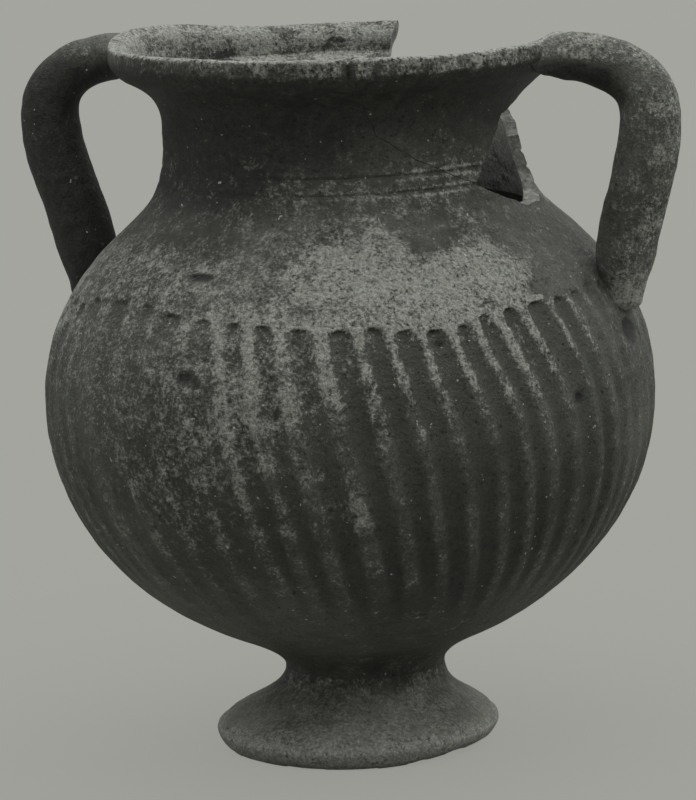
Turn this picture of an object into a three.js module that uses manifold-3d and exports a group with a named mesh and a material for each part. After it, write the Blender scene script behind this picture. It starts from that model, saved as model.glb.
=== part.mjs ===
// Two-handled jug of fluted grey ware on a pedestal foot, with a mended and partly lost neck.
// Lengths are millimetres and angles are degrees. The jug's axis is Z and its foot rests on z = 0.
// The handles stand along X, the right one towards +X, and heights are stacked from the foot upwards.

import * as THREE from 'three';
import { mergeVertices } from 'three/addons/utils/BufferGeometryUtils.js';
import Module from 'manifold-3d';

const wasm = await Module();
wasm.setup();

// Joints
const jointGap = 0.3; // slip or glue line between two pieces

// Foot, thrown by itself and luted under the bowl
const footHeight = 26;
const footRestRadius = 43; // outside of the ring that it rests on
const footEdgeRadius = 46.8; // widest line of the edge
const footEdgeHeight = 5.5; // height of that line
const footCrown = 6; // rise of the edge before it sweeps in to the stem
const footHollowRadius = 33;
const footHollowDepth = 13;
const stemRadius = 26.3; // narrowest line, where foot and bowl meet
const stemSweep = 11; // length over which the stem comes upright

// Body, a bowl and a shoulder thrown in one
const bellyRadius = 100;
const bowlLift = 4; // from the joint at the stem up to where the bowl's curve would close
const bowlDepth = 87; // from there up to the belly's widest line
const bowlStartRadius = 44; // where the flare over the stem meets the bowl's curve
const seamRise = 60; // from the belly's widest line up to the seam under the neck
const seamRadius = 66;
const seamWall = 5.5; // wall at that seam
const bodyWall = 7;
const floorWall = 7;

// Flutes, gouged down the body from the shoulder and dying out towards the foot
const fluteCount = 58;
const fluteDepth = 1.4;
const fluteTopRise = 37; // flute tops above the belly's widest line
const fluteTopWave = 3; // unevenness of that line round the shoulder
const fluteTopWaves = 2; // rises and falls of that line in one turn
const fluteTopLength = 8; // length of the rounded top of one flute
const fluteFootDrop = 70; // flute feet below the belly's widest line
const fluteFootLength = 34; // length over which a flute dies out
const fluteTwist = 12; // slant of a flute from its top to its foot

// Neck with an everted lip
const neckRise = 55; // from the seam to the top of the rim
const neckRadius = 57.6;
const neckNarrowRise = 27; // height of the narrowest line above the seam
const neckFootCurve = 2.5; // how sharply the neck turns into the shoulder
const neckFlareCurve = 3.5; // how sharply it turns out under the lip
const neckWall = 4.2;
const lipRadius = 73.6;
const lipBand = 6; // height of the lip's outer band
const lipUnder = 3.6; // height of the slope under the band, out from the neck
const lipOverhang = 3.6; // reach of the band beyond the neck under it
const lipRound = 1.4; // rounding of the band's upper edge
const lipTopWidth = 3;
const lipBevelWidth = 4.6; // bevel inside the lip
const lipBevelDrop = 3.4;
const grooveRise = 11.5; // lower of the two grooves above the seam
const groovePitch = 5;
const grooveWidth = 1.8;
const grooveDepth = 0.8;

// Breaks through the neck, as angle round the jug and share of the neck's rise
const crackRimAngle = -68.5; // where the mended crack starts at the rim
const crack = [[-67, 0.87], [-61, 0.54], [-57, 0.49], [-47.5, 0.38], [-31, 0.24]];
const breakCorner = [-26.5, 0.21]; // where the mended crack ends and the lost piece begins
const sherdEdge = [[-21.5, 0.31], [-17, 0.39], [-13, 0.48], [-9.5, 0.57], [4, 0.64], [9, 0.73], [11, 0.85]];
const sherdRimAngle = 12; // where the sherd's free edge meets the rim
const lostFoot = [[-22, 0.16], [-16, 0.11], [-7, 0.05], [4, 0.045], [12, 0.085]];
const lostRear = [[16.5, 0.18], [19, 0.39], [26, 0.455], [35, 0.52], [60, 0.65], [87, 0.79]];
const breakTopShare = 1.2; // end of every break, over the rim
const lostRimAngle = 91; // where the rear break meets the rim
const breakNearShare = 0.35; // extent of a break's sides from the axis, against the neck's own radius
const breakFarShare = 3;

// Handles, pulled from round bars, from the lip out and down to the shoulder
const handleRootDrop = 4.4; // middle of the root below the top of the rim
const handleRootBite = 5; // reach of the root over the lip's top
const handleRootRadius = 7.7;
const handleOverBelly = 3; // middle of the bar at the elbow, out over the belly's widest line
const handleElbowDrop = 26; // elbow below the top of the rim
const handleElbowRound = 16; // how full the bend over the elbow is
const handleGripRadius = 9.9;
const handleGrowth = [0.15, 0.5]; // stretch of the bar over which it grows from the root to the grip
const handleTaper = [0.82, 1]; // stretch over which it is drawn out to the toe
const handleToeRise = 26; // toe on the shoulder, above the belly's widest line
const handleToeSink = 3; // middle of the bar at its toe, under the shoulder's surface
const handleToeRadius = 5.5;
const rightHandleLean = 0; // how far the bar leans in over its toe, towards the jug's axis
const leftHandleLean = 3.5;
const leftHandleAngle = 177.5; // round from the right handle, not quite opposite
const handleToeSweep = 29; // length over which the bar comes down along the shoulder

// Fineness of the facets
const footSides = 48;
const footHollowSteps = 5;
const footCrownSteps = 8;
const fluteFacets = 3; // facets across one flute
const flareSteps = 2;
const bowlSteps = 7;
const fluteTopSteps = 3;
const shoulderSteps = 2; // under and over the flute tops
const cavitySides = 40;
const cavitySteps = 7; // under and over the belly's widest line
const neckSides = 48;
const neckFootSteps = 3; // under the grooves
const neckSteps = 10; // over the grooves, and inside
const handleSides = 14;
const handleSteps = 20;
const seatSides = 116;
const seatSteps = 12;

// Ware
const wareColour = 0x4c4f49;
const footColour = 0x5a5a56; // worn paler
const sherdColour = 0x555751;
const wareRoughness = 0.8;

// Heights and curves that follow from the sizes above
const bellyHeight = footHeight + bowlLift + bowlDepth;
const seamHeight = bellyHeight + seamRise;
const narrowHeight = seamHeight + neckNarrowRise;
const rimHeight = seamHeight + neckRise;
const lipFootHeight = rimHeight - lipBand - lipUnder;
const lipFootRadius = lipRadius - lipOverhang;
const handleReach = bellyRadius + handleOverBelly;
const mouthRadius = seamRadius - seamWall;
const innerBellyRadius = bellyRadius - bodyWall;
const innerNeckRadius = neckRadius - neckWall;
const innerLipRadius = lipRadius - lipTopWidth - lipBevelWidth;
const shoulderRise = closingRise(bellyRadius, seamRadius, seamRise);
const innerShoulderRise = closingRise(innerBellyRadius, mouthRadius, seamRise);

// Height at which an ellipse from the belly, passing a smaller radius at a given rise, would close
function closingRise(widest, radius, rise) {
  return rise / Math.sqrt(1 - (radius / widest) ** 2);
}

function at(radius, height) {
  return new THREE.Vector2(radius, height);
}

// Stretch of an upright ellipse centred on the belly's widest line, between two rises from that line
function bellyArc(widest, closing, fromRise, toRise, steps) {
  const from = Math.asin(fromRise / closing);
  const to = Math.asin(toRise / closing);
  return new THREE.EllipseCurve(0, bellyHeight, widest, closing, from, to).getPoints(steps);
}

function solid(geometry) {
  geometry.deleteAttribute('normal');
  geometry.deleteAttribute('uv');
  const merged = mergeVertices(geometry);
  const corners = merged.index.array;
  const triangles = [];
  for (let i = 0; i < corners.length; i += 3) {
    const [a, b, c] = corners.slice(i, i + 3);
    if (a !== b && b !== c && c !== a) triangles.push(a, b, c);
  }
  return new wasm.Manifold(new wasm.Mesh({
    numProp: 3,
    vertProperties: new Float32Array(merged.attributes.position.array),
    triVerts: new Uint32Array(triangles),
  }));
}

function revolved(outline, sides) {
  return new THREE.LatheGeometry(outline, sides).rotateX(Math.PI / 2);
}

function piece(name, shape, colour) {
  const mesh = shape.getMesh();
  const geometry = new THREE.BufferGeometry();
  geometry.setAttribute('position', new THREE.BufferAttribute(mesh.vertProperties, mesh.numProp));
  geometry.setIndex(new THREE.BufferAttribute(mesh.triVerts, 1));
  geometry.computeVertexNormals();
  const material = new THREE.MeshStandardMaterial({ color: colour, roughness: wareRoughness, metalness: 0 });
  const result = new THREE.Mesh(geometry, material);
  result.name = name;
  return result;
}

// Foot: hollow underneath, a leaning edge, and a crown that sweeps in to the stem
function foot() {
  const hollow = new THREE.EllipseCurve(
    0, 0, footHollowRadius, footHollowDepth, Math.PI / 2, 0, true,
  );
  const crown = new THREE.CubicBezierCurve(
    at(footEdgeRadius, footEdgeHeight),
    at(footEdgeRadius, footEdgeHeight + footCrown),
    at(stemRadius, footHeight - stemSweep),
    at(stemRadius, footHeight),
  );
  const outline = [
    ...hollow.getPoints(footHollowSteps),
    at(footRestRadius, 0),
    ...crown.getPoints(footCrownSteps),
    at(0, footHeight),
  ];
  outline[0].x = 0;
  return solid(revolved(outline, footSides));
}

// Outside of the body: flare over the stem, bowl, and shoulder up to the seam under the neck
function bodyOutline() {
  const bowlStart = -bowlDepth * Math.sqrt(1 - (bowlStartRadius / bellyRadius) ** 2);
  const fluteEnd = fluteTopRise - fluteTopWave - fluteTopLength;
  const plainStart = fluteTopRise + fluteTopWave;
  const bowl = bellyArc(bellyRadius, bowlDepth, bowlStart, 0, bowlSteps);
  const meet = bowl[0];
  const slope = (meet.x * bowlDepth ** 2) / (-bowlStart * bellyRadius ** 2);
  const flare = new THREE.QuadraticBezierCurve(
    at(stemRadius, footHeight + jointGap),
    at(stemRadius, meet.y - slope * (meet.x - stemRadius)),
    meet,
  );
  return [
    at(0, footHeight + jointGap),
    ...flare.getPoints(flareSteps),
    ...bowl.slice(1),
    ...bellyArc(bellyRadius, shoulderRise, 0, fluteEnd, shoulderSteps).slice(1),
    ...bellyArc(bellyRadius, shoulderRise, fluteEnd, plainStart, fluteTopSteps).slice(1),
    ...bellyArc(bellyRadius, shoulderRise, plainStart, seamRise, shoulderSteps).slice(1),
    at(0, seamHeight),
  ];
}

// Presses the flutes into a revolved outline whose columns of points are the ridges and channels in turn
function gouge(geometry, pointsPerColumn) {
  const place = geometry.attributes.position;
  const footLine = bellyHeight - fluteFootDrop;
  for (let i = 0; i < place.count; i += 1) {
    const column = Math.floor(i / pointsPerColumn);
    const flute = Math.floor(column / fluteFacets);
    const height = place.getZ(i);
    const radius = Math.hypot(place.getX(i), place.getY(i));
    const wave = fluteTopWave * Math.cos((2 * Math.PI * fluteTopWaves * flute) / fluteCount);
    const topLine = bellyHeight + fluteTopRise + wave;
    const below = 1 - THREE.MathUtils.smoothstep(height, topLine - fluteTopLength, topLine);
    const above = THREE.MathUtils.smoothstep(height, footLine, footLine + fluteFootLength);
    const inChannel = column % fluteFacets === 0 ? 0 : 1;
    const fall = THREE.MathUtils.clamp((topLine - height) / (topLine - footLine), 0, 1);
    const angle = Math.atan2(place.getY(i), place.getX(i)) + THREE.MathUtils.degToRad(fluteTwist * fall);
    const gouged = radius - fluteDepth * inChannel * below * above;
    place.setXYZ(i, gouged * Math.cos(angle), gouged * Math.sin(angle), height);
  }
  return geometry;
}

function cavity() {
  const outline = [
    ...bellyArc(innerBellyRadius, bowlDepth - floorWall, floorWall - bowlDepth, 0, cavitySteps),
    ...bellyArc(innerBellyRadius, innerShoulderRise, 0, seamRise, cavitySteps).slice(1),
    at(mouthRadius, seamHeight + neckRise),
    at(0, seamHeight + neckRise),
  ];
  outline[0].x = 0;
  return solid(revolved(outline, cavitySides));
}

function body() {
  const outline = bodyOutline();
  const fluted = gouge(revolved(outline, fluteCount * fluteFacets), outline.length);
  return solid(fluted).subtract(cavity());
}

// Radius of the neck's wall at a height, from the seam past the narrowest line to the lip
function neckAt(height, seam, narrow, lip) {
  if (height < narrowHeight) {
    return narrow + (seam - narrow) * ((narrowHeight - height) / neckNarrowRise) ** neckFootCurve;
  }
  const flare = (height - narrowHeight) / (lipFootHeight - narrowHeight);
  return narrow + (lip - narrow) * flare ** neckFlareCurve;
}

function neckOuterAt(height) {
  return neckAt(height, seamRadius, neckRadius, lipFootRadius);
}

function neckStretch(fromHeight, toHeight, steps) {
  const points = [];
  for (let i = 0; i <= steps; i += 1) {
    const height = THREE.MathUtils.lerp(fromHeight, toHeight, i / steps);
    points.push(at(neckOuterAt(height), height));
  }
  return points;
}

function groove(height) {
  return [
    at(neckOuterAt(height - grooveWidth / 2), height - grooveWidth / 2),
    at(neckOuterAt(height) - grooveDepth, height),
    at(neckOuterAt(height + grooveWidth / 2), height + grooveWidth / 2),
  ];
}

// Outside of the neck from the seam to the top of the lip, with its two grooves
function neckOutside() {
  const lower = seamHeight + grooveRise;
  const upper = lower + groovePitch;
  return [
    ...neckStretch(seamHeight + jointGap, lower - grooveWidth / 2, neckFootSteps).slice(0, -1),
    ...groove(lower),
    ...groove(upper),
    ...neckStretch(upper + grooveWidth / 2, lipFootHeight, neckSteps).slice(1),
    at(lipRadius, rimHeight - lipBand),
    at(lipRadius, rimHeight - lipRound),
    at(lipRadius - lipRound, rimHeight),
  ];
}

function neckInside() {
  const points = [at(lipRadius - lipTopWidth, rimHeight)];
  const bevelFoot = rimHeight - lipBevelDrop;
  for (let i = 0; i <= neckSteps; i += 1) {
    const height = THREE.MathUtils.lerp(bevelFoot, seamHeight + jointGap, i / neckSteps);
    const asOutside = Math.min(height, lipFootHeight);
    const radius = neckAt(asOutside, mouthRadius, innerNeckRadius, innerLipRadius);
    points.push(at(radius, height));
  }
  return points;
}

function neckRing() {
  const outline = [...neckOutside(), ...neckInside()];
  outline.push(outline[0].clone());
  return solid(revolved(outline, neckSides));
}

// Block that cuts through the neck, its flat sides running from a point on the axis through an outline
// drawn on the neck's outside
function breakBlock(outline) {
  const drawn = outline.map(([degrees, share]) => at(degrees, seamHeight + share * neckRise));
  const geometry = new THREE.ExtrudeGeometry(new THREE.Shape(drawn), {
    depth: 1,
    steps: 1,
    bevelEnabled: false,
  });
  const place = geometry.attributes.position;
  for (let i = 0; i < place.count; i += 1) {
    const angle = THREE.MathUtils.degToRad(place.getX(i));
    const height = place.getY(i);
    const reach = THREE.MathUtils.lerp(breakNearShare, breakFarShare, place.getZ(i));
    const radius = reach * (height < lipFootHeight ? neckOuterAt(height) : lipRadius);
    const rise = reach * (height - narrowHeight);
    place.setXYZ(i, radius * Math.cos(angle), radius * Math.sin(angle), narrowHeight + rise);
  }
  return solid(geometry);
}

// Sherd between the mended crack and its free edge, drawn back from the crack by a gap
function sherdBlock(gap) {
  const turn = THREE.MathUtils.radToDeg(gap / innerNeckRadius);
  const lift = gap / neckRise;
  const mended = [[crackRimAngle, breakTopShare], ...crack, breakCorner];
  return breakBlock([
    ...mended.map(([degrees, share]) => [degrees + turn, share + lift]),
    ...sherdEdge,
    [sherdRimAngle, breakTopShare],
  ]);
}

// Lost piece, taken a little into the sherd's own place so that nothing is left between the two
function lostBlock() {
  return breakBlock([
    breakCorner,
    ...lostFoot,
    ...lostRear,
    [lostRimAngle, breakTopShare],
    [(crackRimAngle + sherdRimAngle) / 2, breakTopShare],
  ]);
}

// Body and neck as seen by a handle that is fitted on them, larger by the joint
function handleSeat() {
  const bodySeat = [
    at(0, bellyHeight),
    ...bellyArc(bellyRadius + jointGap, shoulderRise + jointGap, 0, seamRise, seatSteps),
    at(0, seamHeight),
  ];
  const neckSeat = [
    at(0, seamHeight),
    ...neckOutside().map((point) => at(point.x + jointGap, point.y)),
    at(lipRadius - lipRound, rimHeight + jointGap),
    at(lipRadius - handleRootBite, rimHeight + jointGap),
    at(lipRadius - handleRootBite, rimHeight + lipRadius),
    at(0, rimHeight + lipRadius),
  ];
  return solid(revolved(bodySeat, seatSides)).add(solid(revolved(neckSeat, neckSides)));
}

// Round bar along a path in the XZ plane, its radius changing on the way
function bar(path, radiusAt) {
  const geometry = new THREE.CylinderGeometry(1, 1, 1, handleSides, handleSteps);
  const place = geometry.attributes.position;
  for (let i = 0; i < place.count; i += 1) {
    const along = place.getY(i) + 0.5;
    const centre = path.getPointAt(along);
    const run = path.getTangentAt(along);
    const outward = place.getX(i) * radiusAt(along);
    const sideways = place.getZ(i) * radiusAt(along);
    place.setXYZ(i, centre.x - outward * run.y, sideways, centre.y + outward * run.x);
  }
  return solid(geometry);
}

function handle(lean) {
  const elbowHeight = rimHeight - handleElbowDrop;
  const rootHeight = rimHeight - handleRootDrop;
  const toeHeight = bellyHeight + handleToeRise;
  const toeRadius = bellyRadius * Math.sqrt(1 - (handleToeRise / shoulderRise) ** 2) - handleToeSink;
  const path = new THREE.CurvePath();
  path.add(new THREE.CubicBezierCurve(
    at(innerNeckRadius, rootHeight),
    at(lipRadius + handleElbowRound, rootHeight),
    at(handleReach, elbowHeight + handleElbowRound),
    at(handleReach, elbowHeight),
  ));
  path.add(new THREE.CubicBezierCurve(
    at(handleReach, elbowHeight),
    at(handleReach, elbowHeight - handleElbowRound),
    at(toeRadius - lean, toeHeight + handleToeSweep),
    at(toeRadius, toeHeight),
  ));
  const radiusAt = (along) => {
    const grown = THREE.MathUtils.smoothstep(along, ...handleGrowth);
    const drawn = THREE.MathUtils.smoothstep(along, ...handleTaper);
    const grip = THREE.MathUtils.lerp(handleRootRadius, handleGripRadius, grown);
    return THREE.MathUtils.lerp(grip, handleToeRadius, drawn);
  };
  return bar(path, radiusAt).subtract(handleSeat());
}

const ring = neckRing();
const jug = new THREE.Group();
jug.add(piece('foot', foot(), footColour));
jug.add(piece('body', body(), wareColour));
jug.add(piece('neck', ring.subtract(sherdBlock(0)).subtract(lostBlock()), wareColour));
jug.add(piece('neck_sherd', ring.intersect(sherdBlock(jointGap)), sherdColour));
jug.add(piece('right_handle', handle(rightHandleLean), wareColour));
jug.add(piece('left_handle', handle(leftHandleLean).rotate([0, 0, leftHandleAngle]), wareColour));

export default jug;
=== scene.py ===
import bisect
import math
import random

import bmesh
import bpy
from mathutils import Matrix, Quaternion, Vector, noise


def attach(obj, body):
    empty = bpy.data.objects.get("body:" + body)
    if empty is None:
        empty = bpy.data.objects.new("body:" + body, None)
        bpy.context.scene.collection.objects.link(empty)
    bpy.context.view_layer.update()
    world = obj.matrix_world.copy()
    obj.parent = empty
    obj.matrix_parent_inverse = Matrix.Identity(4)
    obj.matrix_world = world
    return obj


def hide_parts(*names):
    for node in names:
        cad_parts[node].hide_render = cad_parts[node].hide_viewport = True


noise.seed_set(4)
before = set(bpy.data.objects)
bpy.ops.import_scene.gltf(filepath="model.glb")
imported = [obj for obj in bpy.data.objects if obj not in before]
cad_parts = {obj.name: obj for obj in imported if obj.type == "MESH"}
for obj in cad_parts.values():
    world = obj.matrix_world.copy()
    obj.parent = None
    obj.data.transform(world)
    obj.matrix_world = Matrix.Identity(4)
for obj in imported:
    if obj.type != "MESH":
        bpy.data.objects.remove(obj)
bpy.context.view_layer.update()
print("frame loaded:", ", ".join(sorted(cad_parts)))

# All shapes are worked out in millimetres and made metres when a piece is finished

jugLine = {
    "jointHeight": 26.0,  # foot and bowl meet
    "stemRadius": 26.3,
    "flarePull": 31.3,  # how far the stem rises before it flares
    "bowlStart": (44.0, 38.88),
    "bellyRadius": 100.0,
    "bellyHeight": 117.0,
    "bowlDepth": 87.0,
    "shoulderClose": 79.87,
    "seamHeight": 177.0,  # shoulder and neck meet
    "seamBlend": 7.0,  # softness of that meeting, up and down
    "neckFoot": 66.0,
    "neckRadius": 57.6,
    "narrowHeight": 204.0,
    "footCurve": 2.5,
    "flareCurve": 3.5,
    "lipFoot": (70.0, 222.4),
    "bandFoot": 226.4,  # lower edge of the lip's upright band
    "lipRadius": 73.6,
    "rimHeight": 232.0,
    "wheelRound": (0.57, 0.55, 3),  # wheel lines: across, up and shift in their noise
    "wheelDepth": 0.10,
}


working = {
    "millimetre": 0.001,  # in metres
    "weld": 0.002,  # spun points nearer than this become one
    "sliver": 0.00001,  # in metres, cleaned from the cuts
}


def softStep(value, low, high):  # from 0 to 1
    t = min(1.0, max(0.0, (value - low) / (high - low)))
    return t * t * (3 - 2 * t)


def softFall(value, low, high):  # from 1 to 0
    return 1 - softStep(value, low, high)


def plateau(value, low, level, fall, end):  # up to 1 and down again
    return softStep(value, low, level) * softFall(value, fall, end)


def between(a, b, t):
    return a + (b - a) * t


def shoulderRadius(height):
    line = jugLine
    meetRadius, meetHeight = line["bowlStart"]
    if height < meetHeight:  # flare between stem and bowl
        a = line["jointHeight"] - 2 * line["flarePull"] + meetHeight
        b = 2 * (line["flarePull"] - line["jointHeight"])
        c = line["jointHeight"] - height
        t = (math.sqrt(max(0.0, b * b - 4 * a * c)) - b) / (2 * a)
        return between(line["stemRadius"], meetRadius, t * t)
    close = line["bowlDepth"] if height < line["bellyHeight"] else line["shoulderClose"]
    share = (height - line["bellyHeight"]) / close
    return line["bellyRadius"] * math.sqrt(max(0.0, 1 - share * share))


def neckRadius(height):
    line = jugLine
    if height < line["narrowHeight"]:
        rise = line["narrowHeight"] - line["seamHeight"]
        t = (line["narrowHeight"] - height) / rise
        return line["neckRadius"] + (line["neckFoot"] - line["neckRadius"]) * t ** line["footCurve"]
    t = (height - line["narrowHeight"]) / (line["lipFoot"][1] - line["narrowHeight"])
    return line["neckRadius"] + (line["lipFoot"][0] - line["neckRadius"]) * min(1.0, t) ** line["flareCurve"]


def outsideRadius(height):
    low = jugLine["seamHeight"] - jugLine["seamBlend"]
    high = jugLine["seamHeight"] + jugLine["seamBlend"]
    if height <= low:
        return shoulderRadius(height)
    if height >= high:
        return neckRadius(height)
    span = high - low
    slopeLow = (shoulderRadius(low) - shoulderRadius(low - 0.1)) / 0.1 * span
    slopeHigh = (neckRadius(high + 0.1) - neckRadius(high)) / 0.1 * span
    t = (height - low) / span
    return (
        (2 * t**3 - 3 * t**2 + 1) * shoulderRadius(low)
        + (t**3 - 2 * t**2 + t) * slopeLow
        + (3 * t**2 - 2 * t**3) * neckRadius(high)
        + (t**3 - t**2) * slopeHigh
    )


def bendPoint(start, corner, end, t):  # on a bend that aims at a corner
    a, b, c = (1 - t) ** 2, 2 * t * (1 - t), t * t
    return tuple(a * p + b * q + c * r for p, q, r in zip(start, corner, end))


def curvePoint(corners, t):  # on a curve that leaves and ends along its outer corners
    a, b, c, d = (1 - t) ** 3, 3 * t * (1 - t) ** 2, 3 * t * t * (1 - t), t**3
    return corners[0] * a + corners[1] * b + corners[2] * c + corners[3] * d


def arcPoints(radius, close, startAngle, endAngle, steps):  # stretch of the belly's curve
    points = []
    for i in range(steps + 1):
        angle = math.radians(between(startAngle, endAngle, i / steps))
        points.append((radius * math.cos(angle), jugLine["bellyHeight"] + close * math.sin(angle)))
    return points


def spinLine(points, columns):
    bm = bmesh.new()
    verts = [bm.verts.new((r, 0.0, z)) for r, z in points]
    edges = [bm.edges.new(pair) for pair in zip(verts, verts[1:])]
    bmesh.ops.spin(
        bm, geom=verts + edges, cent=(0, 0, 0), axis=(0, 0, 1),
        angle=math.tau, steps=columns, use_merge=True,
    )
    bmesh.ops.remove_doubles(bm, verts=bm.verts, dist=working["weld"])
    bmesh.ops.recalc_face_normals(bm, faces=bm.faces)
    return bm


def polar(co):
    return math.hypot(co.x, co.y), math.degrees(math.atan2(co.y, co.x)), co.z


def turnedBy(a, b):  # smallest turn from a to b in degrees
    return (b - a + 180) % 360 - 180


def hump(across, up=0.0):  # 1 in the middle, falling away softly on all sides
    return math.exp(-(across**2) - up**2)


def nearAngle(angle, middle, spread):  # such a hump on one side of the jug
    return hump(turnedBy(middle, angle) / spread)


def standOut(spot, angle, height):  # hump on the wall: angle, spread, height, spread, amount
    middle, across, level, up, by = spot
    return by * hump(turnedBy(middle, angle) / across, (height - level) / up)


def ringSpot(angle, height, across, up, shift):  # place in a noise that closes round the jug
    turn = math.radians(angle)
    return Vector((across * math.cos(turn) + shift, across * math.sin(turn), height * up))


def unevenAt(co, layers):  # noise in layers, each with its size and height
    return sum(noise.noise(co / size) * high for size, high in layers)


def turningLines(angle, height):  # faint rings that the wheel leaves
    return noise.noise(ringSpot(angle, height, *jugLine["wheelRound"])) * jugLine["wheelDepth"]


def roughen(bm, size, depth, seed):  # uneven clay, along the normals
    bm.normal_update()
    shift = Vector((seed * 7.3, seed * 3.1, seed * 5.7))
    moves = [(v, v.normal * depth * noise.noise(v.co / size + shift)) for v in bm.verts]
    for v, move in moves:
        v.co += move


def meshPiece(name, bm, materials, creaseAngle=42):
    bmesh.ops.scale(bm, vec=[working["millimetre"]] * 3, verts=bm.verts)
    mesh = bpy.data.meshes.new(name)
    bm.to_mesh(mesh)
    bm.free()
    piece = bpy.data.objects.new(name, mesh)
    bpy.context.scene.collection.objects.link(piece)
    for material in materials:
        mesh.materials.append(material)
    smoothed(mesh, creaseAngle)
    return piece


def smoothed(mesh, creaseAngle):
    mesh.shade_smooth()
    mesh.set_sharp_from_angle(angle=math.radians(creaseAngle))


def cutWith(piece, cutter, operation):  # cuts one mesh with another and keeps the result as a plain mesh
    step = piece.modifiers.new("cut", "BOOLEAN")
    step.operation = operation
    step.solver = "MANIFOLD"
    step.object = cutter
    bpy.context.view_layer.update()
    graph = bpy.context.evaluated_depsgraph_get()
    result = bpy.data.meshes.new_from_object(piece.evaluated_get(graph))
    piece.modifiers.clear()
    old = piece.data
    piece.data = result
    result.name = piece.name
    bpy.data.meshes.remove(old)


def cleanCuts(piece):  # slivers and flaps that the cuts leave
    bm = bmesh.new()
    bm.from_mesh(piece.data)
    bmesh.ops.remove_doubles(bm, verts=bm.verts, dist=working["sliver"])
    bmesh.ops.triangulate(bm, faces=[face for face in bm.faces if len(face.verts) > 4])
    bmesh.ops.dissolve_degenerate(bm, edges=bm.edges, dist=working["sliver"])
    twins = {}
    for face in bm.faces:
        twins.setdefault(frozenset(face.verts), []).append(face)
    flaps = [face for faces in twins.values() if len(faces) > 1 for face in faces]
    bmesh.ops.delete(bm, geom=flaps, context="FACES")
    bm.to_mesh(piece.data)
    bm.free()


def paintMask(piece, name, valueAt):  # one number for each vertex, from its place in millimetres
    layer = piece.data.attributes.new(name, "FLOAT", "POINT")
    for v in piece.data.vertices:
        layer.data[v.index].value = valueAt(v.co * 1000)


def settle(piece, node):
    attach(piece, "root")
    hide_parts(node)
    print("made", piece.name, len(piece.data.polygons), "faces")


# Materials: one kind of grey ware, worn and crusted differently on each piece, with painted light and shade
# in places

def addNode(tree, kind, **values):
    item = tree.nodes.new(kind)
    for key, value in values.items():
        setattr(item, key, value)
    return item


def feed(tree, socket, value):  # a number, a colour or another node's output
    if isinstance(value, (int, float)):
        socket.default_value = value
    elif isinstance(value, tuple):
        socket.default_value = (*value, 1.0)
    else:
        tree.links.new(value, socket)


def mathNode(tree, operation, a, b, clamp=False):
    item = addNode(tree, "ShaderNodeMath", operation=operation, use_clamp=clamp)
    for socket, value in zip(item.inputs, (a, b)):
        feed(tree, socket, value)
    return item.outputs[0]


def noiseNode(tree, coords, scale, detail, roughness):
    item = addNode(tree, "ShaderNodeTexNoise")
    for key, value in zip(("Scale", "Detail", "Roughness", "Vector"), (scale, detail, roughness, coords)):
        feed(tree, item.inputs[key], value)
    return item.outputs["Fac"]


def sumOf(tree, *parts):  # adds values, each with its weight
    total = None
    for value, weight in parts:
        part = mathNode(tree, "MULTIPLY", value, weight)
        total = part if total is None else mathNode(tree, "ADD", total, part)
    return total


def rangeNode(tree, value, low, high, start=0.0, end=1.0):
    item = addNode(tree, "ShaderNodeMapRange", interpolation_type="SMOOTHSTEP")
    tree.links.new(value, item.inputs["Value"])
    for key, number in zip(("From Min", "From Max", "To Min", "To Max"), (low, high, start, end)):
        item.inputs[key].default_value = number
    return item.outputs["Result"]


def mixColour(tree, share, a, b):
    item = addNode(tree, "ShaderNodeMix", data_type="RGBA")
    feed(tree, item.inputs["Factor"], share)
    feed(tree, item.inputs[6], a)
    feed(tree, item.inputs[7], b)
    return item.outputs[2]


def maskNode(tree, name):
    return addNode(tree, "ShaderNodeAttribute", attribute_name=name).outputs["Fac"]


def newMaterial(name):  # with its nodes, its shader and the object's own coordinates
    material = bpy.data.materials.new(name)
    material.use_nodes = True
    tree = material.node_tree
    coords = addNode(tree, "ShaderNodeTexCoord").outputs["Object"]
    return material, tree, tree.nodes["Principled BSDF"], coords


def bumpNode(tree, shader, height, strength, depth):
    item = addNode(tree, "ShaderNodeBump")
    for key, value in (("Strength", strength), ("Distance", depth), ("Height", height)):
        feed(tree, item.inputs[key], value)
    tree.links.new(item.outputs["Normal"], shader.inputs["Normal"])


def shaded(colour, share):
    return tuple(c * share for c in colour)


wareLook = {
    "dark": (0.0490, 0.0520, 0.0420),
    "mid": (0.122, 0.127, 0.109),
    "pale": (0.300, 0.308, 0.278),
    "paleShares": (0.70, 1.12),  # its darkest and palest crumbs
    "speck": (0.47, 0.48, 0.44),
    # colours of the darkening mask: dark stains, and painted shade and shadow
    "stainShadeDark": (0.0160, 0.0172, 0.0136),
    "stainShadePale": (0.0360, 0.0382, 0.0312),
    "pit": (0.017, 0.018, 0.015),
    "roughness": (0.62, 0.93),
    "gloss": 0.35,
    "fluteShare": 0.75,  # how far the flutes are dark
    "relief": (0.8, 0.12),  # of the grain, and of the grain where it was wiped
    "lineScale": (18, 18, 900),  # wheel lines: long round the jug, fine upwards
}


wareNoises = {  # scale, detail and roughness, from wide clouds to fine sand
    "clouds": (26, 4, 0.6),
    "blotch": (150, 4, 0.6),
    "mottle": (400, 5, 0.75),
    "grain": (1000, 3, 0.7),
    "fine": (2400, 2, 0.6),
    "lines": (1, 3, 0.55),
    "dots": (620, 1, 0.4),
}


wareRanges = {  # from which value of a noise to which other, and what these become
    "shade": (0.38, 0.63),
    "patchy": (0.38, 0.62),
    "deposit": (1.25, 1.67, 0.0, 0.95),
    "crumbs": (0.38, 0.62),
    "specks": (0.80, 0.90, 0.0, 0.55),
    "dots": (0.765, 0.79, 0.0, 0.8),
    "pits": (0.36, 0.46, 0.85, 0.0),
    "sandy": (0.36, 0.64, 0.76, 1.26),
    "rough": (0.3, 1.1),
}
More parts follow.
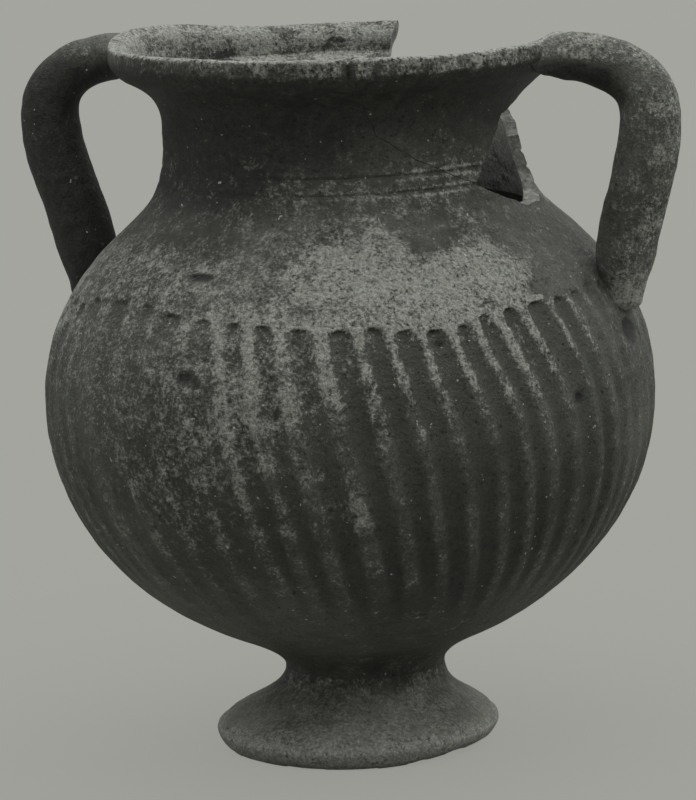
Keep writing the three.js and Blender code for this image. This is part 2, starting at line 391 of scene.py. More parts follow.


# It reads five masks: pale crust with some painted light, scoop (flutes), dark stains with painted shade and
# shadow, pepper (pits) and wiped (smooth)
def greyWare(name, tone, crust, grainRelief, wheelLines):
    material, tree, shader, coords = newMaterial(name)
    kinds = ("clouds", "blotch", "mottle", "grain", "fine")
    clouds, blotch, mottle, grain, fine = (noiseNode(tree, coords, *wareNoises[kind]) for kind in kinds)
    squash = addNode(tree, "ShaderNodeMapping")
    squash.inputs["Scale"].default_value = wareLook["lineScale"]
    tree.links.new(coords, squash.inputs["Vector"])
    lines = noiseNode(tree, squash.outputs["Vector"], *wareNoises["lines"])
    crustAndLight, scoop, stainAndShade, pepper = (maskNode(tree, mask) for mask in ("crustAndLight", "scoop", "stainAndShade", "pepper"))

    def ranged(kind, value):
        return rangeNode(tree, value, *wareRanges[kind])

    dark, mid = (shaded(wareLook[key], tone) for key in ("dark", "mid"))
    shade = ranged("shade", sumOf(tree, (clouds, 0.45), (blotch, 0.3), (mottle, 0.25)))
    base = mixColour(tree, shade, dark, mid)
    base = mixColour(tree, mathNode(tree, "MULTIPLY", scoop, wareLook["fluteShare"]), base, dark)
    patchy = ranged("patchy", sumOf(tree, (blotch, 0.4), (mottle, 0.6)))
    # darkened where its mask says: dark stains, and painted shade and shadow
    base = mixColour(tree, stainAndShade, base, mixColour(tree, patchy, wareLook["stainShadeDark"], wareLook["stainShadePale"]))

    # pale crust, and painted light where its mask paints light
    wanted = sumOf(tree, (crustAndLight, crust), (blotch, 0.7), (mottle, 0.95), (grain, 0.7))
    deposit = ranged("deposit", wanted)
    crumbs = ranged("crumbs", sumOf(tree, (mottle, 0.5), (grain, 0.5)))
    pale = mixColour(tree, crumbs, *(shaded(wareLook["pale"], share) for share in wareLook["paleShares"]))
    base = mixColour(tree, deposit, base, pale)
    specks = ranged("specks", sumOf(tree, (fine, 0.6), (grain, 0.6), (crustAndLight, 0.08)))
    base = mixColour(tree, specks, base, wareLook["speck"])
    dots = ranged("dots", noiseNode(tree, coords, *wareNoises["dots"]))
    base = mixColour(tree, dots, base, wareLook["speck"])
    pits = ranged("pits", sumOf(tree, (mottle, 0.4), (grain, 0.7), (pepper, -0.10)))
    base = mixColour(tree, pits, base, wareLook["pit"])
    sandy = addNode(tree, "ShaderNodeVectorMath", operation="SCALE")
    tree.links.new(base, sandy.inputs[0])
    tree.links.new(ranged("sandy", sumOf(tree, (grain, 0.5), (fine, 0.5))), sandy.inputs["Scale"])
    tree.links.new(sandy.outputs["Vector"], shader.inputs["Base Color"])

    crusted = mathNode(tree, "ADD", deposit, blotch)
    rough = rangeNode(tree, crusted, *wareRanges["rough"], *wareLook["roughness"])
    tree.links.new(rough, shader.inputs["Roughness"])
    shader.inputs["Specular IOR Level"].default_value = wareLook["gloss"]
    height = sumOf(
        tree, (blotch, 0.7), (mottle, 1.0), (grain, 0.7), (fine, 0.2),
        (deposit, 0.35), (pits, -0.5), (lines, wheelLines),
    )
    relief = rangeNode(tree, maskNode(tree, "wiped"), 0.0, 1.0, *wareLook["relief"])
    bumpNode(tree, shader, height, relief, grainRelief)
    return material


breakLook = {
    "worn": ((0.050, 0.052, 0.046), (0.190, 0.193, 0.176)),
    # paler pair, also painted light at the foot of a break
    "paleBreak": ((0.115, 0.118, 0.106), (0.335, 0.340, 0.312)),
    "grain": (700, 4, 0.7),
    "blotch": (220, 3, 0.6),
    "patchy": (0.35, 0.68),
    "roughness": 0.95,
    "gloss": 0.2,
    "relief": (0.9, 0.0007),
}


def brokenWare(name):  # bare core of the clay at a break, paler where its mask says so: at the top of a break, and as painted light at its foot
    look = breakLook
    material, tree, shader, coords = newMaterial(name)
    grain = noiseNode(tree, coords, *look["grain"])
    blotch = noiseNode(tree, coords, *look["blotch"])
    tone = sumOf(tree, (grain, 0.6), (blotch, 0.4))
    patchy = rangeNode(tree, tone, *look["patchy"])
    worn = mixColour(tree, patchy, *look["worn"])
    paleBreak = mixColour(tree, patchy, *look["paleBreak"])
    feed(tree, shader.inputs["Base Color"], mixColour(tree, maskNode(tree, "paleCoreAndLight"), worn, paleBreak))
    shader.inputs["Roughness"].default_value = look["roughness"]
    shader.inputs["Specular IOR Level"].default_value = look["gloss"]
    bumpNode(tree, shader, tone, *look["relief"])
    return material


bodyWare = greyWare("body_ware", tone=1.0, crust=0.66, grainRelief=0.0011, wheelLines=0.25)
neckWare = greyWare("neck_ware", tone=1.0, crust=0.66, grainRelief=0.0007, wheelLines=0.55)
handleWare = greyWare("handle_ware", tone=1.1, crust=0.62, grainRelief=0.0009, wheelLines=0.0)
# the foot takes a paler copy of the ware: partly a paler worn foot, partly painted light where the bowl
# shades it
footWarePaleAndLit = greyWare("foot_ware", tone=2.8, crust=0.62, grainRelief=0.0007, wheelLines=0.35)
breakWare = brokenWare("break_core")
print("wares mixed")


# Foot

footTurned = {
    "columns": 300,
    "hollow": (33.0, 13.0),
    "restRing": (34.5, 38.5, 42.4),  # flat ring that it stands on
    "restEdge": (43.3, 0.35),  # small round outside that ring
    "edge": (46.8, 5.5),
    "bandLean": 0.3,  # from a round band to a slanting one
    "bandTop": 8.4,  # groove over the worn edge band
    "grooveDepth": 0.55,
    "grooveWidth": 0.7,
    "stemSweep": 11.0,
    "crown": 6.0,
    "lean": (-1.8, 1.4),  # foot set on askew: ring to the left and stem to the right, as the camera sees it
    "leanTurn": 18.0,
    "leanFrom": 4.0,
    "leanEnd": 56.0,  # the bowl has taken it up
    "nicks": (39.0, 43.0, 6.0, 2.6),  # in the lower edge: from radius, to radius, height, depth
    "nickRound": (1.7, 4.2, 1, 0),  # height, across, up and shift in their noise
    "nickShare": 0.12,  # how much of that noise leaves no nick
    "worn": (-14.0, 34.0, 1.8),  # lower edge worn away on the right: angle, spread, height
    "wornRadii": (38.0, 44.0),
    "wornHeight": 7.0,
    "unevenness": [(16, 0.35, 3), (4, 0.12, 8)],  # size, depth and seed
}


footLook = {
    "stemDarkening": 0.82,
    "stemHeights": (14, 26),
    "darkSide": (-22, 34),  # angle and spread
    "crownDarkening": 0.28,
    "crownHeights": (6, 12),
    "bandDarkening": 0.2,
    "crust": 0.27,
    "bandCrust": 0.64,
    "bandHeights": (6.5, 10),
    "front": (-84, 42),
    # paler front: pale crust, partly painted light
    "frontCrustAndLight": 0.40,
    "frontHeights": (8, 20),
    "patches": [(11, 0.2)],  # size and strength
}


def askew(height):  # sideways place of foot and stem at a height
    shape, joint = footTurned, jugLine["jointHeight"]
    low, high = shape["lean"]
    if height < joint:
        by = between(low, high, softStep(height, shape["leanFrom"], joint))
    else:
        by = high * softFall(height, joint, shape["leanEnd"])
    turn = math.radians(shape["leanTurn"])
    return Vector((by * math.cos(turn), by * math.sin(turn), 0.0))


def footLine():
    shape = footTurned
    hollowRadius, hollowDepth = shape["hollow"]
    edge, rest = shape["edge"], shape["restEdge"]
    points = []
    for i in range(17):  # hollow underneath, from the axis out
        angle = math.pi / 2 * (1 - i / 16)
        points.append((hollowRadius * math.cos(angle), hollowDepth * math.sin(angle)))
    points[0] = (0.0, hollowDepth)
    points += [(radius, 0.0) for radius in shape["restRing"]] + [rest]
    for i in range(1, 11):  # rounded band of the edge
        angle = math.pi / 2 * i / 10
        across = between(math.sin(angle), i / 10, shape["bandLean"])
        up = between(1 - math.cos(angle), i / 10, shape["bandLean"])
        points.append((between(rest[0], edge[0], across), between(rest[1], edge[1], up)))
    stem, joint = jugLine["stemRadius"], jugLine["jointHeight"]
    corners = [
        Vector(edge), Vector((edge[0], edge[1] + shape["crown"])),
        Vector((stem, joint - shape["stemSweep"])), Vector((stem, joint)),
    ]
    steps = 46
    for i in range(1, steps + 1):
        spot = curvePoint(corners, i / steps)
        dip = shape["grooveDepth"] * hump((spot.y - shape["bandTop"]) / shape["grooveWidth"])
        points.append((spot.x - dip * 0.8, spot.y - dip * 0.6))  # straight into the slope
    points.append((0.0, joint))
    return points


def makeFoot():
    shape, joint = footTurned, jugLine["jointHeight"]
    bm = spinLine(footLine(), shape["columns"])
    for size, depth, seed in shape["unevenness"]:
        roughen(bm, size, depth, seed)
    nickFrom, nickTo, nickHeight, nickDepth = shape["nicks"]
    wornAngle, wornSpread, wornBy = shape["worn"]
    for v in bm.verts:
        radius, angle, height = polar(v.co)
        if height < 0.25:  # it stands flat
            v.co.z = 0.0
        if radius > nickFrom and height < nickHeight:  # nicked lower edge
            nick = max(0.0, noise.noise(ringSpot(angle, *shape["nickRound"])) - shape["nickShare"])
            v.co.z += nick * nickDepth * (1 - height / nickHeight) * softStep(radius, nickFrom, nickTo)
        worn = wornBy * nearAngle(angle, wornAngle, wornSpread) * softStep(radius, *shape["wornRadii"])
        if height < shape["wornHeight"]:
            v.co.z += worn * (1 - height / shape["wornHeight"])
        if height > joint - 0.6:  # and the bowl stands flat on it
            v.co.z = joint
        v.co += askew(height)
    piece = meshPiece("foot_turned", bm, [footWarePaleAndLit])
    paintMask(piece, "crustAndLight", footCrustAndLight)
    paintMask(piece, "stainAndShade", footDarkening)
    settle(piece, "foot")


def footDarkening(co):
    look = footLook
    _, angle, height = polar(co)
    right = nearAngle(angle, *look["darkSide"])
    side = look["crownDarkening"] * right * softStep(height, *look["crownHeights"]) + look["bandDarkening"] * right
    return max(look["stemDarkening"] * softStep(height, *look["stemHeights"]), side)


def footCrustAndLight(co):
    look = footLook
    _, angle, height = polar(co)
    band = look["bandCrust"] * softFall(height, *look["bandHeights"])
    # paler front: pale crust, partly painted light
    front = look["frontCrustAndLight"] * nearAngle(angle, *look["front"]) * softFall(height, *look["frontHeights"])
    return look["crust"] + band + front + unevenAt(co, look["patches"])


makeFoot()


# Body with its flutes

bodyThrown = {
    "columns": 560,
    "wallRadius": 93.0,
    "wallDepth": 80.0,
    "wallClose": 79.0,
    "topsZone": (139.5, 167.4),  # finer rows where the flute tops are
    "skin": 3.0,  # what lies deeper than this is the inside
    "workedFrom": 28.0,  # below it the stem stays plain
    "calm": (28, 36, 171, 176.5),  # between these heights the surface is uneven
    "unevenness": [(34, 0.5), (6, 0.16)],  # size and height
    "chatter": 0.18,  # marks that the shaking gouge left in the flutes
    "chatterRound": (22.9, 0.8, 9),  # across, up and shift in their noise
}

fluteCut = {
    "count": 58,
    "tops": [  # angle round the jug and height of each top on the front, as they were cut
        (-137.0, 156.4), (-126.0, 157.5), (-118.0, 157.1), (-110.5, 155.2), (-102.0, 154.2), (-95.0, 153.7),
        (-89.2, 153.1), (-81.8, 152.1), (-73.6, 151.5), (-67.2, 151.7), (-61.4, 150.5), (-55.4, 150.1),
        (-49.3, 150.5), (-44.1, 152.8), (-38.0, 153.8), (-30.6, 154.4), (-23.8, 154.4),
    ],
    "restTop": 154.0,  # tops on the other sides
    "restWave": 2.0,
    "topJitter": 0.9,
    "angleJitter": 0.5,
    "depth": 1.35,
    "depthShares": (0.85, 1.12),
    "shallow": 0.42,  # on the left of the front, where the tool was pressed less
    "shallowFront": (-112, -86),  # from shallow to full depth
    "shallowRear": (158, 176),  # and back again on the far side
    "lowDepth": 1.1,
    "bite": 1.55,  # depth where the tool went in
    "biteShares": (0.85, 1.1),
    "biteLength": 4.6,
    "section": 2.4,  # roundness across
    "ridgeShare": 0.27,
    "ridgeShares": (0.75, 1.3),
    "ridgeMost": 0.62,
    "topLength": 3.4,
    "topSlope": 0.8,
    "arcWidth": 0.9,  # painted shadow under each top
    "arcFront": (-142, -86),  # where that painted shadow shows on shallow flutes too
    "arcLeast": 0.8,
    "crustEnds": (119, 137),  # down to where a ridge is crusted
    "crustLeft": 9,  # this much higher on the left
    "footHeight": 46.0,
    "footJitter": 5,
    "footFade": 36.0,
    "slant": 0.115,  # degrees for each millimetre down
    "slantFrom": 152.0,
    "sweep": (-36.0, 20.0, 2.6),  # more slant at the right front: angle, spread, degrees
    "sweepLength": 36,
    "quiet": (8.0, 22.0, 36.0),  # nearly smoothed away under the right handle: angle, and degrees from it
    "quietShare": 0.04,
    "swayScale": 0.045,
    "seed": 21,
}

dents = [  # angle, height, half width, half height, depth
    (-103.6, 137.2, 3.0, 2.6, 1.1),
    (-101.5, 135.5, 1.6, 1.6, 0.6),
    (-25.7, 123.9, 2.2, 2.0, 1.0),
    (-85.4, 126.8, 1.5, 1.5, 0.6),
    (-106.3, 165.6, 5.4, 1.1, 1.0),
    (-54.6, 145.4, 1.6, 1.4, 0.7),
    (-2.4, 138.8, 7.2, 4.6, 1.3),
    (64.0, 139.0, 2.6, 2.0, 0.8),
    (131.0, 121.0, 2.0, 2.2, 0.9),
    (158.0, 163.0, 3.0, 1.2, 0.6),
    (-166.0, 110.0, 1.8, 2.0, 0.7),
]


def bodyLine():
    line, shape = jugLine, bodyThrown
    stem, joint, belly = line["stemRadius"], line["jointHeight"], line["bellyHeight"]
    points = [(0.0, joint), (stem * 0.5, joint), (stem, joint)]
    flare = (stem, joint), (stem, line["flarePull"]), line["bowlStart"]
    points += [bendPoint(*flare, i / 12) for i in range(1, 13)]
    low = math.degrees(math.asin((line["bowlStart"][1] - belly) / line["bowlDepth"]))
    points += arcPoints(line["bellyRadius"], line["bowlDepth"], low, 0, 58)[1:]
    topsLow, topsHigh = shape["topsZone"]
    zones = (belly, topsLow, 15), (topsLow, topsHigh, 45), (topsHigh, line["seamHeight"], 7)
    for start, end, rows in zones:
        heights = [between(start, end, i / rows) for i in range(1, rows + 1)]
        points += [(outsideRadius(z), z) for z in heights]
    high = math.degrees(math.asin((line["seamHeight"] - belly) / shape["wallClose"]))
    points += arcPoints(shape["wallRadius"], shape["wallClose"], high, 0, 8)
    points += arcPoints(shape["wallRadius"], shape["wallDepth"], 0, -90, 11)[1:]
    points[-1] = (0.0, points[-1][1])
    return points


def layOutFlutes():
    cut = fluteCut
    rng = random.Random(cut["seed"])
    flutes = [{"angle": a, "top": z} for a, z in cut["tops"]]
    first, last = cut["tops"][0][0], cut["tops"][-1][0]
    more = cut["count"] - len(flutes)
    pitch = (first + 360 - last) / (more + 1)
    for i in range(more):
        angle = last + pitch * (i + 1)
        wave = cut["restWave"] * math.cos(math.radians(2 * angle))
        top = cut["restTop"] + wave + rng.uniform(-cut["topJitter"], cut["topJitter"])
        flutes.append({"angle": angle + rng.uniform(-cut["angleJitter"], cut["angleJitter"]), "top": top})
    quietAngle, quietNear, quietFar = cut["quiet"]
    faintFrom, faintEnd = cut["arcFront"]
    for flute in flutes:
        place = turnedBy(0, flute["angle"])
        rear = 1 - 0.8 * softStep(place, *cut["shallowRear"])
        lean = softStep(place, *cut["shallowFront"]) if place < 0 else rear
        awake = softStep(abs(turnedBy(quietAngle, flute["angle"])), quietNear, quietFar)
        lean *= between(cut["quietShare"], 1.0, awake)
        flute["depth"] = between(cut["shallow"], cut["depth"], lean) * rng.uniform(*cut["depthShares"])
        # painted shadow under the top, also on faint flutes on the front
        faint = cut["arcLeast"] if faintFrom < place < faintEnd else 0.0
        flute["arc"] = max(softStep(flute["depth"], 0.2, 0.8), faint)
        flute["bite"] = between(0.65, 1.0, lean) * cut["bite"] * rng.uniform(*cut["biteShares"])
        flute["crustEnd"] = rng.uniform(*cut["crustEnds"]) + cut["crustLeft"] * softFall(place, -86, -70)
        flute["ridge"] = cut["ridgeShare"] * rng.uniform(*cut["ridgeShares"])
        flute["sway"] = rng.uniform(0, 50)
        flute["foot"] = cut["footHeight"] + rng.uniform(-cut["footJitter"], cut["footJitter"])
    return flutes


flutes = layOutFlutes()
fluteStarts = [f["angle"] for f in flutes]


# Gives the share of a flute's depth, that depth, where its ridge's crust ends and the painted shadow under
# its top
def fluteAt(angle, height):
    cut = fluteCut
    start = fluteStarts[0]
    below = max(0.0, cut["slantFrom"] - height)
    fall = min(1.0, below / (cut["slantFrom"] - cut["footHeight"]))
    sweepAngle, spread, sweep = cut["sweep"]
    turned = angle - cut["slant"] * below
    turned -= sweep * softStep(below, 0, cut["sweepLength"]) * nearAngle(angle, sweepAngle, spread)
    turned = start + (turned - start) % 360
    i = bisect.bisect_right(fluteStarts, turned) - 1
    here, after = flutes[i], flutes[(i + 1) % len(flutes)]
    gap = (after["angle"] - here["angle"]) % 360
    offset = turned - here["angle"]
    flute = here if offset < gap / 2 else after
    across = offset if offset < gap / 2 else gap - offset
    sway = noise.noise(Vector((flute["sway"], height * cut["swayScale"], 0.0)))
    ridge = min(cut["ridgeMost"], flute["ridge"] * (1 + 0.45 * sway) * (1 + 0.5 * fall))
    half = gap / 2 * (1 - ridge)
    drop = flute["top"] - height
    if drop <= 0:
        return 0.0, flute["depth"], flute["crustEnd"], 0.0
    end = min(1.0, drop / cut["topLength"])
    half *= math.sqrt(1 - (1 - end) ** 2)
    side = across / max(0.01, half)
    if side >= 1:
        return 0.0, flute["depth"], flute["crustEnd"], 0.0
    hollow = (1 - side ** cut["section"]) * min(1.0, drop / cut["topSlope"])
    # painted shadow under the top
    edge = hump(drop / cut["arcWidth"]) * flute["arc"]
    fade = softStep(height, flute["foot"], flute["foot"] + cut["footFade"])
    steady = max(flute["depth"], cut["lowDepth"] * fall)  # the shallow ones too are pressed deeper lower down
    depth = between(steady * (1 + 0.25 * sway), flute["bite"], hump(drop / cut["biteLength"]))
    return hollow * fade, depth, flute["crustEnd"], edge


def dentAt(angle, height, radius):
    depth = 0.0
    for spotAngle, spotHeight, halfWidth, halfHeight, deep in dents:
        if abs(height - spotHeight) > halfHeight + 1:
            continue
        along = math.radians(turnedBy(spotAngle, angle)) * radius / halfWidth
        away = along * along + ((height - spotHeight) / halfHeight) ** 2
        if away < 1:
            depth = max(depth, deep * (1 - away) ** 1.5)
    return depth


def makeBody():
    shape = bodyThrown
    bm = spinLine(bodyLine(), shape["columns"])
    for v in bm.verts:
        radius, angle, height = polar(v.co)
        v.co += askew(height)
        plain = height < shape["workedFrom"] or height > jugLine["seamHeight"] - 0.1
        if plain or radius < outsideRadius(height) - shape["skin"]:
            continue
        hollow, depth = fluteAt(angle, height)[:2]
        uneven = unevenAt(v.co, shape["unevenness"]) + turningLines(angle, height)
        chatter = noise.noise(ringSpot(angle, height, *shape["chatterRound"])) * shape["chatter"] * hollow
        inward = hollow * depth + dentAt(angle, height, radius) + chatter
        inward -= uneven * plateau(height, *shape["calm"])
        v.co.x -= inward * math.cos(math.radians(angle))
        v.co.y -= inward * math.sin(math.radians(angle))
    piece = meshPiece("body_fluted", bm, [bodyWare], 60)
    paintMask(piece, "scoop", bodyScoop)
    paintMask(piece, "stainAndShade", bodyStainAndShade)
    paintMask(piece, "crustAndLight", bodyCrustAndLight)
    paintMask(piece, "pepper", bodyPepper)
    settle(piece, "body")


bodyLook = {
    "scoopDepths": (0.2, 1.3),  # a deeper flute is darker
    # darker towards the bottom and more on one side: partly painted shade, partly darker ware
    "darkeningSide": (-50, 34),  # angle and spread
    "bowlDarkening": (0.225, 0.275),  # all round, and more on that side
    "bowlHeights": (62, 112),
    "sideDarkening": 0.36,
    "sideHeights": (96, 130),
    # painted shade on the left side, away from the light
    "shadeLeft": (-116, 30),
    "leftShade": 0.35,
    "leftHeights": (84, 104, 140, 156),
    "ridgeDarkening": 0.55,  # shares of that darkening on ridges, in flutes and on the stem
    "fluteDarkening": 1.15,
    "stemDarkening": 0.6,
    "stemEnd": 50,
    "topShadow": 0.85,  # painted shadow under the flute tops
    "dentDepths": (0.06, 0.28),
    "dentCrust": -1.4,
    "pitted": (-52, 26, 160, 9, 0.22),  # angle, spread, height, spread, amount
    "left": (-16, 6),  # degrees from the front over which the left side ends
    "crust": 0.40,
    "crustHeights": (96, 158),
    "ragged": [(8, 0.75), (2.7, 0.35)],  # edges of the patches: size and strength
    "patchEdge": (0.2, 1.25),
    "dullLeft": (-128, 26),
    "dullHeights": (150, 164),
    "dullRight": (-37, -27, 24, 50),
    "dullShares": (0.16, 0.32),  # less crust on these two sides
    "seamHeights": (168, 182),
    "seamShares": (0.5, 0.75),  # less crust towards the neck, and there on the left
    # painted light on the shaded inside, seen through the hole
    "insideCrustAndLight": 0.7,
    "insideHeights": (140, 165),
    "pressed": (0.4, 1.2),
    "broken": [(7, 0.9), (2.6, 0.6)],  # crust on the ridges: size and strength
    "ridgeTops": (152, 158),
    "ridgeCrust": (0.06, 0.40),  # beside shallow and deep flutes
    "lowLeft": (-5, 26),
    "lowCrust": (0.18, 0.30),  # lower down, on the right and on the left
    "lowFrom": (56, 74),
    "lowFade": (94, 114),
    "fluteCrust": (0.05, 0.28),  # taken from shallow and deep flutes
}


def bodyScoop(co):
    _, angle, height = polar(co)
    hollow, depth = fluteAt(angle, height)[:2]
    return hollow * softStep(depth, *bodyLook["scoopDepths"])


def bodyStainAndShade(co):
    look = bodyLook
    radius, angle, height = polar(co)
    side = nearAngle(angle, *look["darkeningSide"])
    allRound, more = look["bowlDarkening"]
    # darker towards the bottom: partly painted shade, partly darker ware; painted shade on the left side
    low = (allRound + more * side) * softFall(height, *look["bowlHeights"])
    low += look["sideDarkening"] * side * softFall(height, *look["sideHeights"])
    low += look["leftShade"] * nearAngle(angle, *look["shadeLeft"]) * plateau(height, *look["leftHeights"])
    if radius < outsideRadius(height) - bodyThrown["skin"]:
        return low
    hollow, _, _, edge = fluteAt(angle, height)
    if height > look["stemEnd"]:
        low *= between(look["ridgeDarkening"], look["fluteDarkening"], softStep(hollow, 0.0, 0.5))
    else:
        low *= look["stemDarkening"]
    dent = softStep(dentAt(angle, height, radius), *look["dentDepths"])
    # adds the painted shadow under the flute tops, and the dark dents
    return min(1.0, max(low + look["topShadow"] * edge, dent))


bodyPatches = [  # angle, height, spread round, spread up, strength of pale crust
    (-40.6, 164.5, 17, 8.5, 0.42), (-57.0, 161.0, 13, 8, 0.28), (-31.0, 158.0, 8, 6, 0.22),
    (-72.0, 165.0, 16, 11, 0.30), (-84.0, 138.0, 15, 18, 0.15), (-96.0, 152.0, 12, 8, 0.08),
    (-108.0, 118.0, 26, 30, 0.10), (-88.0, 124.0, 15, 18, 0.14), (-96.0, 100.0, 26, 26, 0.15),
    (-74.0, 97.0, 5, 15, 0.26), (-106.3, 168.4, 4, 1.6, 0.4), (-30.4, 155.2, 2.6, 0.8, 1.3),
    (-26.0, 157.5, 5, 4, -0.45), (-68.0, 174.0, 14, 8, 0.28), (-50.0, 176.0, 9, 6, -0.25),
    (60.0, 160.0, 30, 11, 0.35), (120.0, 138.0, 24, 17, 0.28), (-170.0, 150.0, 26, 15, 0.3),
    (15.0, 132.0, 18, 20, 0.1),
]


def bodyPepper(co):
    _, angle, height = polar(co)
    return standOut(bodyLook["pitted"], angle, height)


def leftOfFront(angle):  # share of the left side, as the camera sees it
    return softFall(turnedBy(-90, angle), *bodyLook["left"])


def shoulderBloom(angle, height):
    look = bodyLook
    ragged = 1 + unevenAt(ringSpot(angle, height, 90, 1, 0), look["ragged"])
    lessLeft, lessRight = look["dullShares"]
    less = lessLeft * nearAngle(angle, *look["dullLeft"]) * softFall(height, *look["dullHeights"])
    less += lessRight * plateau(angle, *look["dullRight"])
    seam = softStep(height, *look["seamHeights"])
    seamLess, seamLeft = look["seamShares"]
    value = (look["crust"] - less) * softStep(height, *look["crustHeights"]) * (1 - seamLess * seam)
    for spotAngle, spotHeight, across, up, strength in bodyPatches:
        away = (turnedBy(spotAngle, angle) / across) ** 2 + ((height - spotHeight) / up) ** 2
        value += strength * softFall(away * ragged, *look["patchEdge"])
    return value * (1 - seamLeft * leftOfFront(angle) * seam)


def bodyCrustAndLight(co):
    look = bodyLook
    radius, angle, height = polar(co)
    # inside: painted light where it lies in shade
    if radius < shoulderRadius(height) - bodyThrown["skin"]:
        return look["insideCrustAndLight"] * softStep(height, *look["insideHeights"])
    hollow, depth, crustEnd, _ = fluteAt(angle, height)
    pressed = softStep(depth, *look["pressed"])
    left = softFall(turnedBy(-95, angle), *look["lowLeft"])
    ridge = softFall(hollow, 0.0, 0.2) * softFall(height, *look["ridgeTops"])
    ridge *= max(0.0, 0.55 + unevenAt(co, look["broken"]), 0.75 * softStep(height, crustEnd, crustEnd + 12))
    value = shoulderBloom(angle, height)
    value += between(*look["ridgeCrust"], pressed) * ridge * softStep(height, crustEnd - 14, crustEnd + 8)
    low = softStep(height, *look["lowFrom"]) * (1 - 0.7 * softStep(height, *look["lowFade"]))
    value += between(*look["lowCrust"], left) * ridge * low
    value -= between(*look["fluteCrust"], pressed) * softStep(hollow, 0.06, 0.45) * (1 - 0.5 * left)
    value += look["dentCrust"] * softStep(dentAt(angle, height, radius), *look["dentDepths"])
    return min(value, 0.35 + 0.45 * value)  # the thickest crust is evened out


makeBody()


# Neck, its loose sherd and the breaks

neckThrown = {
    "columns": 420,
    "mouthRadius": 60.5,
    "wallNarrow": 53.7,
    "wallCurve": 2.0,
    "wallLip": 66.0,
    "topWidth": 3.0,
    "bevelDrop": 3.4,
    "bevelStart": 0.55,  # share of the slanting face that stays straight
    "bevelTurn": 3.4,
    "lipRound": 1.3,
    "arris": 0.9,  # rounding of the band's lower edge
    "lifts": [  # rim pulled up or down by the handles: angle, spread before and after it, amount
        (170.0, 34.0, 16.0, 3.4), (118.0, 36.0, 30.0, -0.8),
        (1.0, 10.0, 11.0, 1.2), (-115.0, 45.0, 35.0, 0.8),
    ],
    "liftHeights": (221, 230),
    "bulges": [(179.0, 15.0, 3.0), (0.0, 12.0, 0.8)],  # lip drawn out at the handles: angle, spread, amount
    "bulgeHeights": (219, 229),
    "swell": (20.0, 25.0, 188.0, 8.0, 0.9),  # neck stands out a little over the right handle
    "smear": (6.0, 30.0, 218.0, 5.0, 2.3),  # clay under the right handle
    "notch": (-69.5, 1.3, 2.2),  # where the crack starts: angle, half width, depth
    "notchHeights": (222, 228),
    "notchFrom": 68.0,  # radius
    "notchDrop": 0.6,  # of the rim there
    "grooves": [  # height, depth, width
        (188.5, 0.7, 0.6), (193.5, 0.7, 0.6), (183.2, 0.3, 0.6), (199.0, 0.2, 0.6),
    ],
    "filled": 0.75,  # how far the grooves are filled on the left
    "calmHeights": (177, 184),
    "unevenness": [(30, 0.45), (5, 0.14)],  # size and height
    "rimUneven": [(22, 0.5), (3.5, 0.22)],
    "rimHeights": (229, 231.5),
    "skin": (2.3, 2.5),  # what lies deeper than this is the inside, in the lip and below
    "creaseAngle": 38,
}

breakLines = {  # angle round the jug and height
    "mended": [
        (-69.5, 243.0), (-68, 224.8), (-61, 206.7), (-57, 204.0),
        (-47.5, 197.9), (-31, 190.2), (-26.5, 188.6),
    ],
    "freeEdge": [
        (-21.5, 194.0), (-17, 198.3), (-13, 203.5), (-9.5, 208.3),
        (4, 212.2), (9, 217.0), (11, 224.0), (12, 243.0),
    ],
    "lostFoot": [(-26.5, 188.2), (-22, 185.8), (-16, 183.2), (-7, 179.4), (4, 179.0), (12, 181.6)],
    "lostRear": [
        (16.5, 187.0), (19, 198.5), (26, 202.0), (35, 205.6), (60, 211.0), (86, 214.5),
        (91.6, 218.5), (92.4, 222.6), (91.1, 229.0), (90.2, 243.0), (-20, 243.0),
    ],
    "pointsRadius": 60,  # at this radius the points along a break are
    "pointsApart": 1.1,  # so far apart
    "jag": 0.5,
    "jagSizes": (5.5, 1.6),
    "jagFine": 0.45,
    "gap": 0.2,
    "gapHeights": (198, 214),
    "gapShares": (1.0, 0.4),  # the crack is finer towards the lip
    "layers": [0.62, 0.84, 0.88, 0.905, 0.925, 0.945, 0.965, 0.985, 1.005, 1.03, 1.2, 2.2],
    "tip": 2.0,
}


def wallRadius(height):  # inside of the neck
    shape, narrow = neckThrown, jugLine["narrowHeight"]
    if height < narrow:
        t = ((narrow - height) / (narrow - jugLine["seamHeight"])) ** shape["wallCurve"]
        return between(shape["wallNarrow"], shape["mouthRadius"], t)
    t = min(1.0, (height - narrow) / (jugLine["lipFoot"][1] - narrow)) ** jugLine["flareCurve"]
    return between(shape["wallNarrow"], shape["wallLip"], t)


